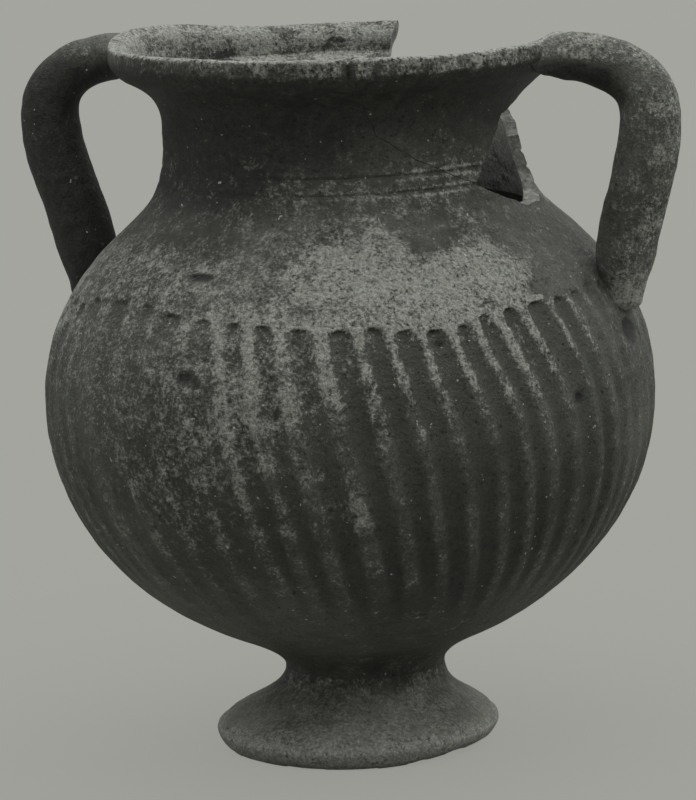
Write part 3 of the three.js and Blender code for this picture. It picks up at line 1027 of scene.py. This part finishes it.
neckLook = {
    "liftHeights": (223, 232),
    "along": (-70, 45),  # from left to right along the front
    "bandFoot": (228.0, 225.8),  # lower edge of the worn band under the rim, left and right
    "bandEdge": 2.2,
    "bandRagged": [(3.2, 1.3)],  # size and strength
    "bandCrust": (0.16, 0.46),
    "rimCrust": (0.6, 0.4),
    "rimHeights": (230.8, 231.8),
    "patches": [(6, 0.14)],
    "insideCrustAndLight": (0.62, 0.48, 0.66),  # pale crust inside: low, high, and on the slanting face under the rim; more low down as painted light in the shaded inside
    "insideHeights": (186, 208),
    "slantHeights": (225, 229),
    "brushRound": (6.9, 0.5, 2),  # across, up and shift in the noise, as in the other such rows
    "brushed": 0.45,
    "throughHole": (50, 45),  # what the lost piece lays open: angle and spread
    "holeHeights": (187, 200, 209, 216),
    # painted light on the shaded inside that the lost piece lays open
    "holeLight": 0.9,
    "scuffs": [(5, 0.5)],
    "scuffed": (0.25, -0.35),  # edges of the grooves: all round, and less on the left
    "scuffSide": (-40, 18),
    "scuffMore": 0.55,
    "scuffCrust": 0.55,
    "scuffAway": (1.2, 0.5),  # from the groove's middle, and half width
    "streakRound": (9.2, 0.75, 6),
    "streaks": (-36, 16, 197, 8, 0.9),
    "lossCrust": 0.36,
    "lossAngles": (6, 14, 34, 60),
    "lossHeights": (203, 209),
    "wallLess": 0.15,  # crust less under the band
    "wallHeights": (197, 207),
    "wallEnd": (227.4, 225.4),
    "notchCrust": -1.3,
    "notchHeights": (220, 226),
    "shoulderEnd": (182, 200),
    "smudgeRound": (5.7, 0.35, 7),
    "smudgeHeights": (200, 214),
    "rearSoot": [(143, 13, 223, 4.5, 0.8), (110, 24, 227.0, 1.6, 0.4)],
    # painted shadow of the lip on the outside of the neck, from where it starts to where it is full
    "stainAndShade": 0.95,
    "right": (-82, -52),
    "shadowFrom": (178, 182),  # on the left and on the right
    "shadowFull": (204, 218),
    "shadowSooner": (4, 14),  # on the far left
    # less painted shadow beside the lost piece
    "lossShadow": 0.85,
    "pits": 0.5,
    "pitHeights": (225, 227),
    "wipedHeights": (212, 222),
    "paleCoreAndLight": (0.75, 1.0),  # paler core at the top of a break, and painted light at its foot, where the break face lies in shade
    "chalkTop": (213, 217),
    "litBreakFoot": (196.5, 199),
}


def grooveDip(height):
    return sum(deep * hump((height - spot) / wide) for spot, deep, wide in neckThrown["grooves"])


def neckLine():
    shape, line = neckThrown, jugLine
    lipFootRadius, lipFootHeight = line["lipFoot"]
    rim, lip, bend = line["rimHeight"], line["lipRadius"], shape["lipRound"]
    points = []
    steps = 78
    for i in range(steps + 1):
        z = between(line["seamHeight"], lipFootHeight - 0.4, i / steps)
        points.append((outsideRadius(z) - grooveDip(z), z))
    bandFoot, arris = line["bandFoot"], shape["arris"]
    slope = (bandFoot - lipFootHeight) / (lip - lipFootRadius)
    for i in range(1, 5):  # underside of the lip
        out = between(lipFootRadius, lip - arris, i / 4)
        points.append((out, lipFootHeight + (out - lipFootRadius) * slope))
    start = points[-1]  # lower edge of the band
    points += [bendPoint(start, (lip, bandFoot), (lip, bandFoot + arris), i / 4) for i in range(1, 5)]
    for i in range(6):
        angle = math.radians(90 * i / 5)
        points.append((lip - bend + bend * math.cos(angle), rim - bend + bend * math.sin(angle)))
    top, inner = lip - shape["topWidth"], rim - shape["bevelDrop"]
    points += [(top + 0.3, rim), (top - 0.4, rim - 0.3)]
    start = (between(shape["wallLip"], top, shape["bevelStart"]), between(inner, rim, shape["bevelStart"]))
    turned = inner - shape["bevelTurn"]
    end = (wallRadius(turned), turned)  # here the slanting face has turned into the wall
    points += [bendPoint(start, (shape["wallLip"], inner), end, i / 6) for i in range(6)]
    steps = 34
    for i in range(steps + 1):
        z = between(turned, line["seamHeight"], i / steps)
        points.append((wallRadius(z), z))
    points.append(points[0])
    return points


def lipLift(angle):
    lift = 0.0
    for middle, before, after, rise in neckThrown["lifts"]:
        turn = turnedBy(middle, angle)
        lift += rise * hump(turn / (before if turn < 0 else after))
    return lift


def lipLevel(angle, height):  # height as it was before the rim was pulled up
    return height - lipLift(angle) * softStep(height, *neckLook["liftHeights"])


def lipBulge(angle, height):
    out = sum(by * nearAngle(angle, middle, spread) for middle, spread, by in neckThrown["bulges"])
    return out * softStep(height, *neckThrown["bulgeHeights"])


def notchShare(angle, radius):
    middle, halfWidth, _ = neckThrown["notch"]
    return hump(math.radians(turnedBy(middle, angle)) * radius / halfWidth)


def extrudeRing(bm, edges):
    grown = bmesh.ops.extrude_edge_only(bm, edges=edges)["geom"]
    verts = [g for g in grown if isinstance(g, bmesh.types.BMVert)]
    return verts, [g for g in grown if isinstance(g, bmesh.types.BMEdge)]


def breakBlock(outline, gap):
    lines = breakLines
    spots = []
    for (a0, z0), (a1, z1) in zip(outline, outline[1:] + outline[:1]):
        length = math.hypot(math.radians(a1 - a0) * lines["pointsRadius"], z1 - z0)
        count = max(1, round(length / lines["pointsApart"]))
        spots += [(between(a0, a1, i / count), between(z0, z1, i / count)) for i in range(count)]
    bm = bmesh.new()
    ring = []
    for angle, z in spots:
        radius = outsideRadius(z) if z < jugLine["lipFoot"][1] else jugLine["lipRadius"]
        ring.append(bm.verts.new(ringSpot(angle, z, radius, 1, 0)))
    edges = [bm.edges.new((a, b)) for a, b in zip(ring, ring[1:] + ring[:1])]
    layers = lines["layers"]
    bmesh.ops.scale(bm, vec=(layers[0], layers[0], 1), verts=ring)
    verts = extrudeRing(bm, edges)[0]
    bmesh.ops.pointmerge(bm, verts=verts, merge_co=(0, 0, jugLine["narrowHeight"]))
    for before, after in zip(layers, layers[1:]):
        verts, edges = extrudeRing(bm, edges)
        bmesh.ops.scale(bm, vec=(after / before, after / before, 1), verts=verts)
    middle = sum((v.co for v in verts), Vector()) / len(verts)
    verts = extrudeRing(bm, edges)[0]
    bmesh.ops.pointmerge(bm, verts=verts, merge_co=middle * lines["tip"])
    coarseSize, fineSize = lines["jagSizes"]
    for v in bm.verts:  # jagged sides
        coarse = noise.noise_vector(v.co / coarseSize) * lines["jag"]
        fine = noise.noise_vector(v.co / fineSize + Vector((4, 4, 4))) * lines["jag"] * lines["jagFine"]
        v.co += coarse + fine
    bmesh.ops.recalc_face_normals(bm, faces=bm.faces)
    if bm.calc_volume(signed=True) < 0:
        bmesh.ops.reverse_faces(bm, faces=bm.faces)
    if gap:
        bm.normal_update()
        for v in bm.verts:
            v.co -= v.normal * gap * between(*lines["gapShares"], softStep(v.co.z, *lines["gapHeights"]))
    return meshPiece("break_block", bm, [breakWare])


def insideNeck(radius, angle, height):
    lipSkin, wallSkin = neckThrown["skin"]
    radius -= lipBulge(angle, height)
    if height - lipLift(angle) > neckThrown["rimHeights"][0]:
        return radius < jugLine["lipRadius"] - lipSkin
    return radius < outsideRadius(min(height, jugLine["bandFoot"])) - wallSkin


def alongFront(angle):  # from 0 at the left to 1 at the right
    return softStep(turnedBy(-90, angle), *neckLook["along"])


def lipBand(co, angle, base):  # share of the worn band under the rim, with a ragged lower edge
    foot = between(*neckLook["bandFoot"], alongFront(angle))
    return softStep(base + unevenAt(co, neckLook["bandRagged"]), foot, foot + neckLook["bandEdge"])


def neckCrustAndLight(co):
    look = neckLook
    radius, angle, height = polar(co)
    base = lipLevel(angle, height)
    if insideNeck(radius, angle, height):
        brushed = noise.noise(ringSpot(angle, height, *look["brushRound"])) + noise.noise(co / 9)
        # pale crust inside, more low down and behind the lost piece as painted light in the shade
        low, high, slanting = look["insideCrustAndLight"]
        upper = between(high, slanting, softStep(base, *look["slantHeights"]))
        hole = nearAngle(angle, *look["throughHole"]) * plateau(height, *look["holeHeights"])
        wall = between(low, upper, softStep(height, *look["insideHeights"]))
        return wall + look["brushed"] * brushed + look["holeLight"] * hole
    along, left = alongFront(angle), leftOfFront(angle)
    value = between(*look["bandCrust"], along) * lipBand(co, angle, base) + unevenAt(co, look["patches"])
    value += between(*look["rimCrust"], along) * softStep(base, *look["rimHeights"])
    allRound, onLeft = look["scuffed"]
    scuffed = allRound + onLeft * left + look["scuffMore"] * nearAngle(angle, *look["scuffSide"])
    scuffed = look["scuffCrust"] * max(0.0, scuffed + unevenAt(co, look["scuffs"]))
    away, halfWidth = look["scuffAway"]
    for groove in neckThrown["grooves"][:2]:
        value += scuffed * hump((abs(height - groove[0]) - away) / halfWidth)
    streak = max(0.0, noise.noise(ringSpot(angle, height, *look["streakRound"])) + 0.1)
    value += streak * standOut(look["streaks"], angle, height)
    wallEnd = between(*look["wallEnd"], along)
    value -= look["wallLess"] * softStep(height, *look["wallHeights"]) * softFall(base, wallEnd - 1, wallEnd)
    value += look["lossCrust"] * nearLoss(angle, height)
    value += look["notchCrust"] * notchShare(angle, radius) * softStep(base, *look["notchHeights"])
    return value + shoulderBloom(angle, height) * softFall(height, *look["shoulderEnd"])


def nearLoss(angle, height):  # outside beside the lost piece, worn pale
    return plateau(angle, *neckLook["lossAngles"]) * softFall(height, *neckLook["lossHeights"])


def neckStainAndShade(co):
    look = neckLook
    radius, angle, height = polar(co)
    base = lipLevel(angle, height)
    if insideNeck(radius, angle, height):
        smudge = noise.noise(ringSpot(angle, height, *look["smudgeRound"])) + 0.5 * noise.noise(co / 4)
        smudge = max(0.0, 0.9 * smudge - 0.05) * softStep(height, *look["smudgeHeights"])
        return min(look["stainAndShade"], smudge + sum(standOut(spot, angle, base) for spot in look["rearSoot"]))
    # outside: painted shadow of the lip, lower on the left and less beside the lost piece
    right, left = softStep(angle, *look["right"]), leftOfFront(angle)
    fromSooner, fullSooner = look["shadowSooner"]
    start = between(*look["shadowFrom"], right) - fromSooner * left
    full = between(*look["shadowFull"], right) - fullSooner * left
    dark = look["stainAndShade"] * softStep(height, start, full) * (1 - lipBand(co, angle, base))
    dark *= 1 - look["lossShadow"] * nearLoss(angle, height)
    return max(dark, look["stainAndShade"] * notchShare(angle, radius) * softStep(base, *look["notchHeights"]))


def neckPepper(co):
    radius, angle, height = polar(co)
    if insideNeck(radius, angle, height):
        return 0.0
    return neckLook["pits"] * softStep(lipLevel(angle, height), *neckLook["pitHeights"])


def neckWiped(co):  # the inside was wiped smooth
    radius, angle, height = polar(co)
    return softFall(height, *neckLook["wipedHeights"]) if insideNeck(radius, angle, height) else 0.0


def neckPaleCoreAndLight(co):
    # painted light at the foot of a break, and a paler core at its top
    top, foot = neckLook["paleCoreAndLight"]
    return max(foot * softFall(co.z, *neckLook["litBreakFoot"]), top * softStep(co.z, *neckLook["chalkTop"]))


def shapeNeck():
    shape = neckThrown
    ring = spinLine(neckLine(), shape["columns"])
    for v in ring.verts:
        radius, angle, height = polar(v.co)
        if height <= jugLine["seamHeight"] + 0.1:
            continue
        uneven = unevenAt(v.co, shape["unevenness"]) + turningLines(angle, height)
        uneven += standOut(shape["swell"], angle, height) + lipBulge(angle, height)
        if not insideNeck(radius, angle, height):
            uneven += shape["filled"] * leftOfFront(angle) * grooveDip(height)
            uneven += standOut(shape["smear"], angle, height)
        nick = shape["notch"][2] * notchShare(angle, radius)
        if radius > shape["notchFrom"]:
            uneven -= nick * softStep(height, *shape["notchHeights"])
        share = (radius + uneven * softStep(height, *shape["calmHeights"])) / radius
        v.co.x *= share
        v.co.y *= share
        rim = unevenAt(v.co, shape["rimUneven"]) - shape["notchDrop"] * nick
        v.co.z += softStep(height, *shape["rimHeights"]) * rim
        v.co.z += lipLift(angle) * softStep(height, *shape["liftHeights"])
    return ring


def makeNeck():
    neck = meshPiece("neck_mended", shapeNeck(), [neckWare, breakWare])
    sherd = bpy.data.objects.new("neck_sherd_mended", neck.data.copy())
    bpy.context.scene.collection.objects.link(sherd)
    sherdLine = breakLines["mended"] + breakLines["freeEdge"]
    lostLine = breakLines["lostFoot"] + breakLines["lostRear"]
    for piece, outline, gap, operation in (
        (neck, sherdLine, 0.0, "DIFFERENCE"),
        (neck, lostLine, 0.0, "DIFFERENCE"),
        (sherd, sherdLine, breakLines["gap"], "INTERSECT"),
    ):
        block = breakBlock(outline, gap)
        cutWith(piece, block, operation)
        bpy.data.objects.remove(block)
    for piece, node in ((neck, "neck"), (sherd, "neck_sherd")):
        cleanCuts(piece)
        smoothed(piece.data, neckThrown["creaseAngle"])
        paintMask(piece, "crustAndLight", neckCrustAndLight)
        paintMask(piece, "stainAndShade", neckStainAndShade)
        paintMask(piece, "pepper", neckPepper)
        paintMask(piece, "paleCoreAndLight", neckPaleCoreAndLight)
        paintMask(piece, "wiped", neckWiped)
        settle(piece, node)


makeNeck()


# Handles

handlePulled = {
    "sides": 56,
    "steps": 160,
    "pathStart": 53.0,
    "pathPoints": 200,  # along each half
    "rootHeight": 227.7,
    "rootRadius": 7.7,
    "rootLength": 9.5,  # over which it grows out of the lip
    "webStart": 0.4,  # inside the lip's edge
    "curlRadii": (74, 90),  # the root follows the lip round as far as this
    "filletPlace": (73.5, 5.5),  # radius and spread
    "elbowHeight": 206.0,
    "elbowRound": 16.0,
    "gripRadius": 9.9,
    "gripShares": (0.04, 0.44),  # along the bar
    "toeRadius": 6.2,
    "toeShares": (0.80, 1.0),
    "toeWide": 0.10,
    "toeWideShares": (0.8, 0.95),
    "toeSweep": 29.0,
    "toeRound": 0.03,  # share of the bar over which its end is rounded off
    "unevenness": [(14, 0.5), (4, 0.2)],  # size and depth
}

rightBar = {
    "reach": 103.4,
    "lean": -1.0,
    "turn": 0.0,
    "toeHeight": 144.6,
    "toeSink": 1.4,
    "web": 9.0,  # clay that is smeared along the lip on each side
    "webShift": -3.0,  # more of it to one side
    "rootStart": 68.0,  # from where it grows
    "rootCap": 71.6,  # its end, inside the thickness of the lip
    "rootThin": 4.4,
    "rootRise": 0.0,
    "fillet": 0.5,  # clay smeared under the root
    # a little painted shade below the top
    "stainAndShade": 0.05,
    # painted light on the outer side
    "pale": 0.34,
    "crown": 0.40,  # pale crust and painted light on top
    "scraped": 0.8,  # and at the lower end
    "seed": 11,
}

leftBar = {
    "reach": 102.7,
    "lean": 1.6,
    "turn": 177.5,
    "toeHeight": 146.0,
    "toeSink": 2.2,
    "web": 14.0,
    "webShift": -4.0,
    "rootStart": 70.8,
    "rootCap": 74.4,
    "rootThin": 5.8,
    "rootRise": 1.3,
    "fillet": 0.8,
    # painted shade over the handle below its top
    "stainAndShade": 0.97,
    "pale": 0.0,
    # pale crust and painted light on top
    "crown": 0.20,
    "scraped": 0.1,
    "seed": 17,
}


handleLook = {
    "toeOut": 92.3,  # middle of the bar at its lower end
    "barHeights": (148, 206),
    "crust": 0.04,
    # painted light on the handle's outer side
    "litSides": (-0.7, 0.6),
    "crownHeights": (217, 232),
    "scrapedPlace": (3.5, 5),  # over the lower end, and half height
    "scrapedSides": (-0.5, 0.1),
    "patches": [(9, 0.22)],  # size and strength
    # less crust where shade is painted: under the root, and on a shaded handle
    "rootCrust": -0.5,
    "shadeCrust": -0.15,
    "rootLine": 226.5,  # under it the root is painted in shade
    "rootLineRise": 1.5,  # beside the lip
    "rootLineRadii": (76, 90),
    "rootDepth": 4,
    "rootEnd": (90, 104),
    "rootHeights": (208, 214),
    # painted shade under the root, and below the top of a handle
    "rootShade": 0.9,
    "shadeTop": (222, 233),
}


def handlePath(bar):
    shape = handlePulled
    toe = Vector((shoulderRadius(bar["toeHeight"]) - bar["toeSink"], bar["toeHeight"]))
    reach, elbow, bend = bar["reach"], shape["elbowHeight"], shape["elbowRound"]
    root = shape["rootHeight"] + bar["rootRise"]
    upper = [
        Vector((shape["pathStart"], root)), Vector((jugLine["lipRadius"] + bend, root)),
        Vector((reach, elbow + bend)), Vector((reach, elbow)),
    ]
    over = Vector((toe.x - bar["lean"], toe.y + shape["toeSweep"]))
    lower = [Vector((reach, elbow)), Vector((reach, elbow - bend)), over, toe]
    count = shape["pathPoints"]
    spots = [curvePoint(half, i / count) for half in (upper, lower) for i in range(count)] + [toe]
    spots = [spot for spot in spots if spot.x > bar["rootCap"]]
    lengths = [0.0]
    for a, b in zip(spots, spots[1:]):
        lengths.append(lengths[-1] + (b - a).length)
    return spots, [length / lengths[-1] for length in lengths]


def pathAt(path, share):
    spots, lengths = path
    i = min(len(spots) - 2, max(0, bisect.bisect_right(lengths, share) - 1))
    t = (share - lengths[i]) / (lengths[i + 1] - lengths[i])
    return spots[i].lerp(spots[i + 1], t), (spots[i + 1] - spots[i]).normalized()


def outAlong(co, bar):  # distance from the jug's axis towards this handle
    turn = math.radians(bar["turn"])
    return co.x * math.cos(turn) + co.y * math.sin(turn)


def handleCrustAndLight(co, bar):
    look = handleLook
    middle = between(look["toeOut"], bar["reach"], softStep(co.z, *look["barHeights"]))
    side = (outAlong(co, bar) - middle) / handlePulled["gripRadius"]
    # painted light on the outer side
    value = look["crust"] + bar["pale"] * softStep(side, *look["litSides"])
    # pale crust and painted light on top
    value += bar["crown"] * softStep(co.z, *look["crownHeights"])
    over, halfHeight = look["scrapedPlace"]
    scraped = hump((co.z - bar["toeHeight"] - over) / halfHeight) * softStep(side, *look["scrapedSides"])
    value += bar["scraped"] * scraped + unevenAt(co, look["patches"])
    return value + look["rootCrust"] * underRoot(co, bar) + look["shadeCrust"] * bar["stainAndShade"]


def underRoot(co, bar):  # painted shade on the underside beside the lip
    look = handleLook
    out = outAlong(co, bar)
    line = look["rootLine"] + bar["rootRise"] + look["rootLineRise"] * softFall(out, *look["rootLineRadii"])
    under = softStep(line - co.z, 0, look["rootDepth"])
    return under * softFall(out, *look["rootEnd"]) * softStep(co.z, *look["rootHeights"])


def handleShade(co, bar):
    # painted shade below the top and under the root
    bare = bar["stainAndShade"] * softFall(co.z, *handleLook["shadeTop"])
    return max(bare, handleLook["rootShade"] * underRoot(co, bar))


def makeHandle(name, node, bar):
    shape = handlePulled
    path = handlePath(bar)
    filletRadius, filletSpread = shape["filletPlace"]
    bm = bmesh.new()
    ring = bmesh.ops.create_circle(bm, cap_ends=False, segments=shape["sides"], radius=1)["verts"]
    edges = list(bm.edges)
    bmesh.ops.contextual_create(bm, geom=edges)
    last = Matrix.Identity(4)
    curls = []
    for i in range(shape["steps"] + 1):
        share = i / shape["steps"]
        spot, run = pathAt(path, share)
        grip = between(shape["rootRadius"], shape["gripRadius"], softStep(share, *shape["gripShares"]))
        size = between(grip, shape["toeRadius"], softStep(share, *shape["toeShares"]))
        size *= math.sqrt(1 - 0.9 * max(0.0, 1 - (1 - share) / shape["toeRound"]) ** 2)
        wide = size * (1 + shape["toeWide"] * softStep(share, *shape["toeWideShares"]))
        aside, curl = 0.0, 0.0
        if spot.y > shape["elbowHeight"]:  # out of the lip, smeared along it
            web = bar["web"]
            come = min(1.0, (spot.x - bar["rootStart"]) / shape["rootLength"])
            left = web - min(web, max(0.0, spot.x - jugLine["lipRadius"] + shape["webStart"]))
            size = between(bar["rootThin"], size, come)
            wide = wide + web - math.sqrt(web * web - left * left)
            aside = bar["webShift"] * left / web
            curl = softFall(spot.x, *shape["curlRadii"])
        frameAt = Matrix((
            (-run.y * size, 0, run.x, spot.x),
            (0, wide, 0, aside),
            (run.x * size, 0, run.y, spot.y),
            (0, 0, 0, 1),
        ))
        if i:
            ring, edges = extrudeRing(bm, edges)
        bmesh.ops.transform(bm, matrix=frameAt @ last.inverted(), verts=ring)
        last = frameAt
        under = bar["fillet"] * hump((spot.x - filletRadius) / filletSpread) if curl else 0.0
        curls += [(v, curl, under * max(0.0, (spot.y - v.co.z) / size)) for v in ring]
    for v, curl, under in curls:  # the root follows the lip round
        v.co.x -= curl * v.co.y**2 / (2 * jugLine["lipRadius"])
        v.co.z -= under
    bmesh.ops.contextual_create(bm, geom=edges)
    bmesh.ops.recalc_face_normals(bm, faces=bm.faces)
    for i, (size, depth) in enumerate(shape["unevenness"]):
        roughen(bm, size, depth, bar["seed"] + 4 * i)
    bmesh.ops.rotate(bm, matrix=Matrix.Rotation(math.radians(bar["turn"]), 3, "Z"), verts=bm.verts)
    piece = meshPiece(name, bm, [handleWare], 60)
    paintMask(piece, "crustAndLight", lambda co: handleCrustAndLight(co, bar))
    paintMask(piece, "stainAndShade", lambda co: handleShade(co, bar))
    settle(piece, node)


makeHandle("handle_right_pulled", "right_handle", rightBar)
makeHandle("handle_left_pulled", "left_handle", leftBar)


# Stage, light and camera

stageSetup = {
    "floorSize": 24.0,
    "floorColour": (0.272, 0.277, 0.250),
    "floorShares": (0.95, 1.05),  # its darker and paler clouds
    "floorClouds": (3, 4, 0.6),
    "floorRoughness": 0.95,
    "floorGloss": 0.1,
    "skyLevel": 0.30,
    "sunLevel": 3.0,
    "sunSpread": 110,
    "sunFrom": (0.17, 0.13, 0.97),  # to the right, away and up, as the camera sees it
    "paperGlow": (0.376, 0.384, 0.350),  # pale board as the camera sees it
    "paperShare": 0.76,
    "viewTurn": 18.0,
}

cameraSetup = {
    "place": (0.4172, -1.2839, 0.352),
    "pitch": 0.1747,
    "yaw": -0.0007,
    "roll": -0.0401,
    "lens": 188.02,
    "sensor": 36.0,
    "farthest": 100.0,
}


def makeFloor():
    setup = stageSetup
    bm = bmesh.new()
    bmesh.ops.create_grid(bm, x_segments=8, y_segments=8, size=setup["floorSize"] / 2)
    mesh = bpy.data.meshes.new("floor")
    bm.to_mesh(mesh)
    bm.free()
    floor = bpy.data.objects.new("floor", mesh)
    bpy.context.scene.collection.objects.link(floor)
    material, tree, shader, coords = newMaterial("floor_paper")
    clouds = noiseNode(tree, coords, *setup["floorClouds"])
    darker, paler = (shaded(setup["floorColour"], share) for share in setup["floorShares"])
    feed(tree, shader.inputs["Base Color"], mixColour(tree, clouds, darker, paler))
    shader.inputs["Roughness"].default_value = setup["floorRoughness"]
    shader.inputs["Specular IOR Level"].default_value = setup["floorGloss"]
    glow = addNode(tree, "ShaderNodeEmission")
    feed(tree, glow.inputs["Color"], setup["paperGlow"])
    rays = addNode(tree, "ShaderNodeLightPath")
    seen = mathNode(tree, "ADD", rays.outputs["Is Camera Ray"], rays.outputs["Is Glossy Ray"])
    seen = mathNode(tree, "ADD", seen, rays.outputs["Is Transmission Ray"], clamp=True)
    blend = addNode(tree, "ShaderNodeMixShader")
    feed(tree, blend.inputs["Fac"], mathNode(tree, "MULTIPLY", seen, setup["paperShare"]))
    feed(tree, blend.inputs[1], shader.outputs["BSDF"])
    feed(tree, blend.inputs[2], glow.outputs["Emission"])
    feed(tree, tree.nodes["Material Output"].inputs["Surface"], blend.outputs["Shader"])
    mesh.materials.append(material)


def makeLight():
    setup = stageSetup
    world = bpy.data.worlds.new("studio")
    bpy.context.scene.world = world
    world.use_nodes = True
    sky = world.node_tree.nodes["Background"]
    sky.inputs["Color"].default_value = (1, 1, 1, 1)
    sky.inputs["Strength"].default_value = setup["skyLevel"]
    sun = bpy.data.lights.new("softbox", "SUN")
    sun.energy = setup["sunLevel"]
    sun.angle = math.radians(setup["sunSpread"])
    lamp = bpy.data.objects.new("softbox", sun)
    bpy.context.scene.collection.objects.link(lamp)
    toSun = Matrix.Rotation(math.radians(setup["viewTurn"]), 3, "Z") @ Vector(setup["sunFrom"])
    lamp.rotation_euler = toSun.to_track_quat("Z", "Y").to_euler()


def makeCamera():
    setup = cameraSetup
    data = bpy.data.cameras.new("camera")
    data.sensor_width = setup["sensor"]
    data.lens = setup["lens"]
    data.clip_end = setup["farthest"]
    camera = bpy.data.objects.new("camera", data)
    bpy.context.scene.collection.objects.link(camera)
    flat = math.cos(setup["pitch"])
    look = Vector((math.sin(setup["yaw"]) * flat, math.cos(setup["yaw"]) * flat, -math.sin(setup["pitch"])))
    look = Matrix.Rotation(math.radians(stageSetup["viewTurn"]), 3, "Z") @ look
    aim = look.to_track_quat("-Z", "Y") @ Quaternion((0, 0, 1), setup["roll"])
    camera.location = setup["place"]
    camera.rotation_euler = aim.to_euler()
    bpy.context.scene.camera = camera


makeFloor()
makeLight()
makeCamera()
bpy.context.scene.view_settings.view_transform = "Standard"
print("stage set")
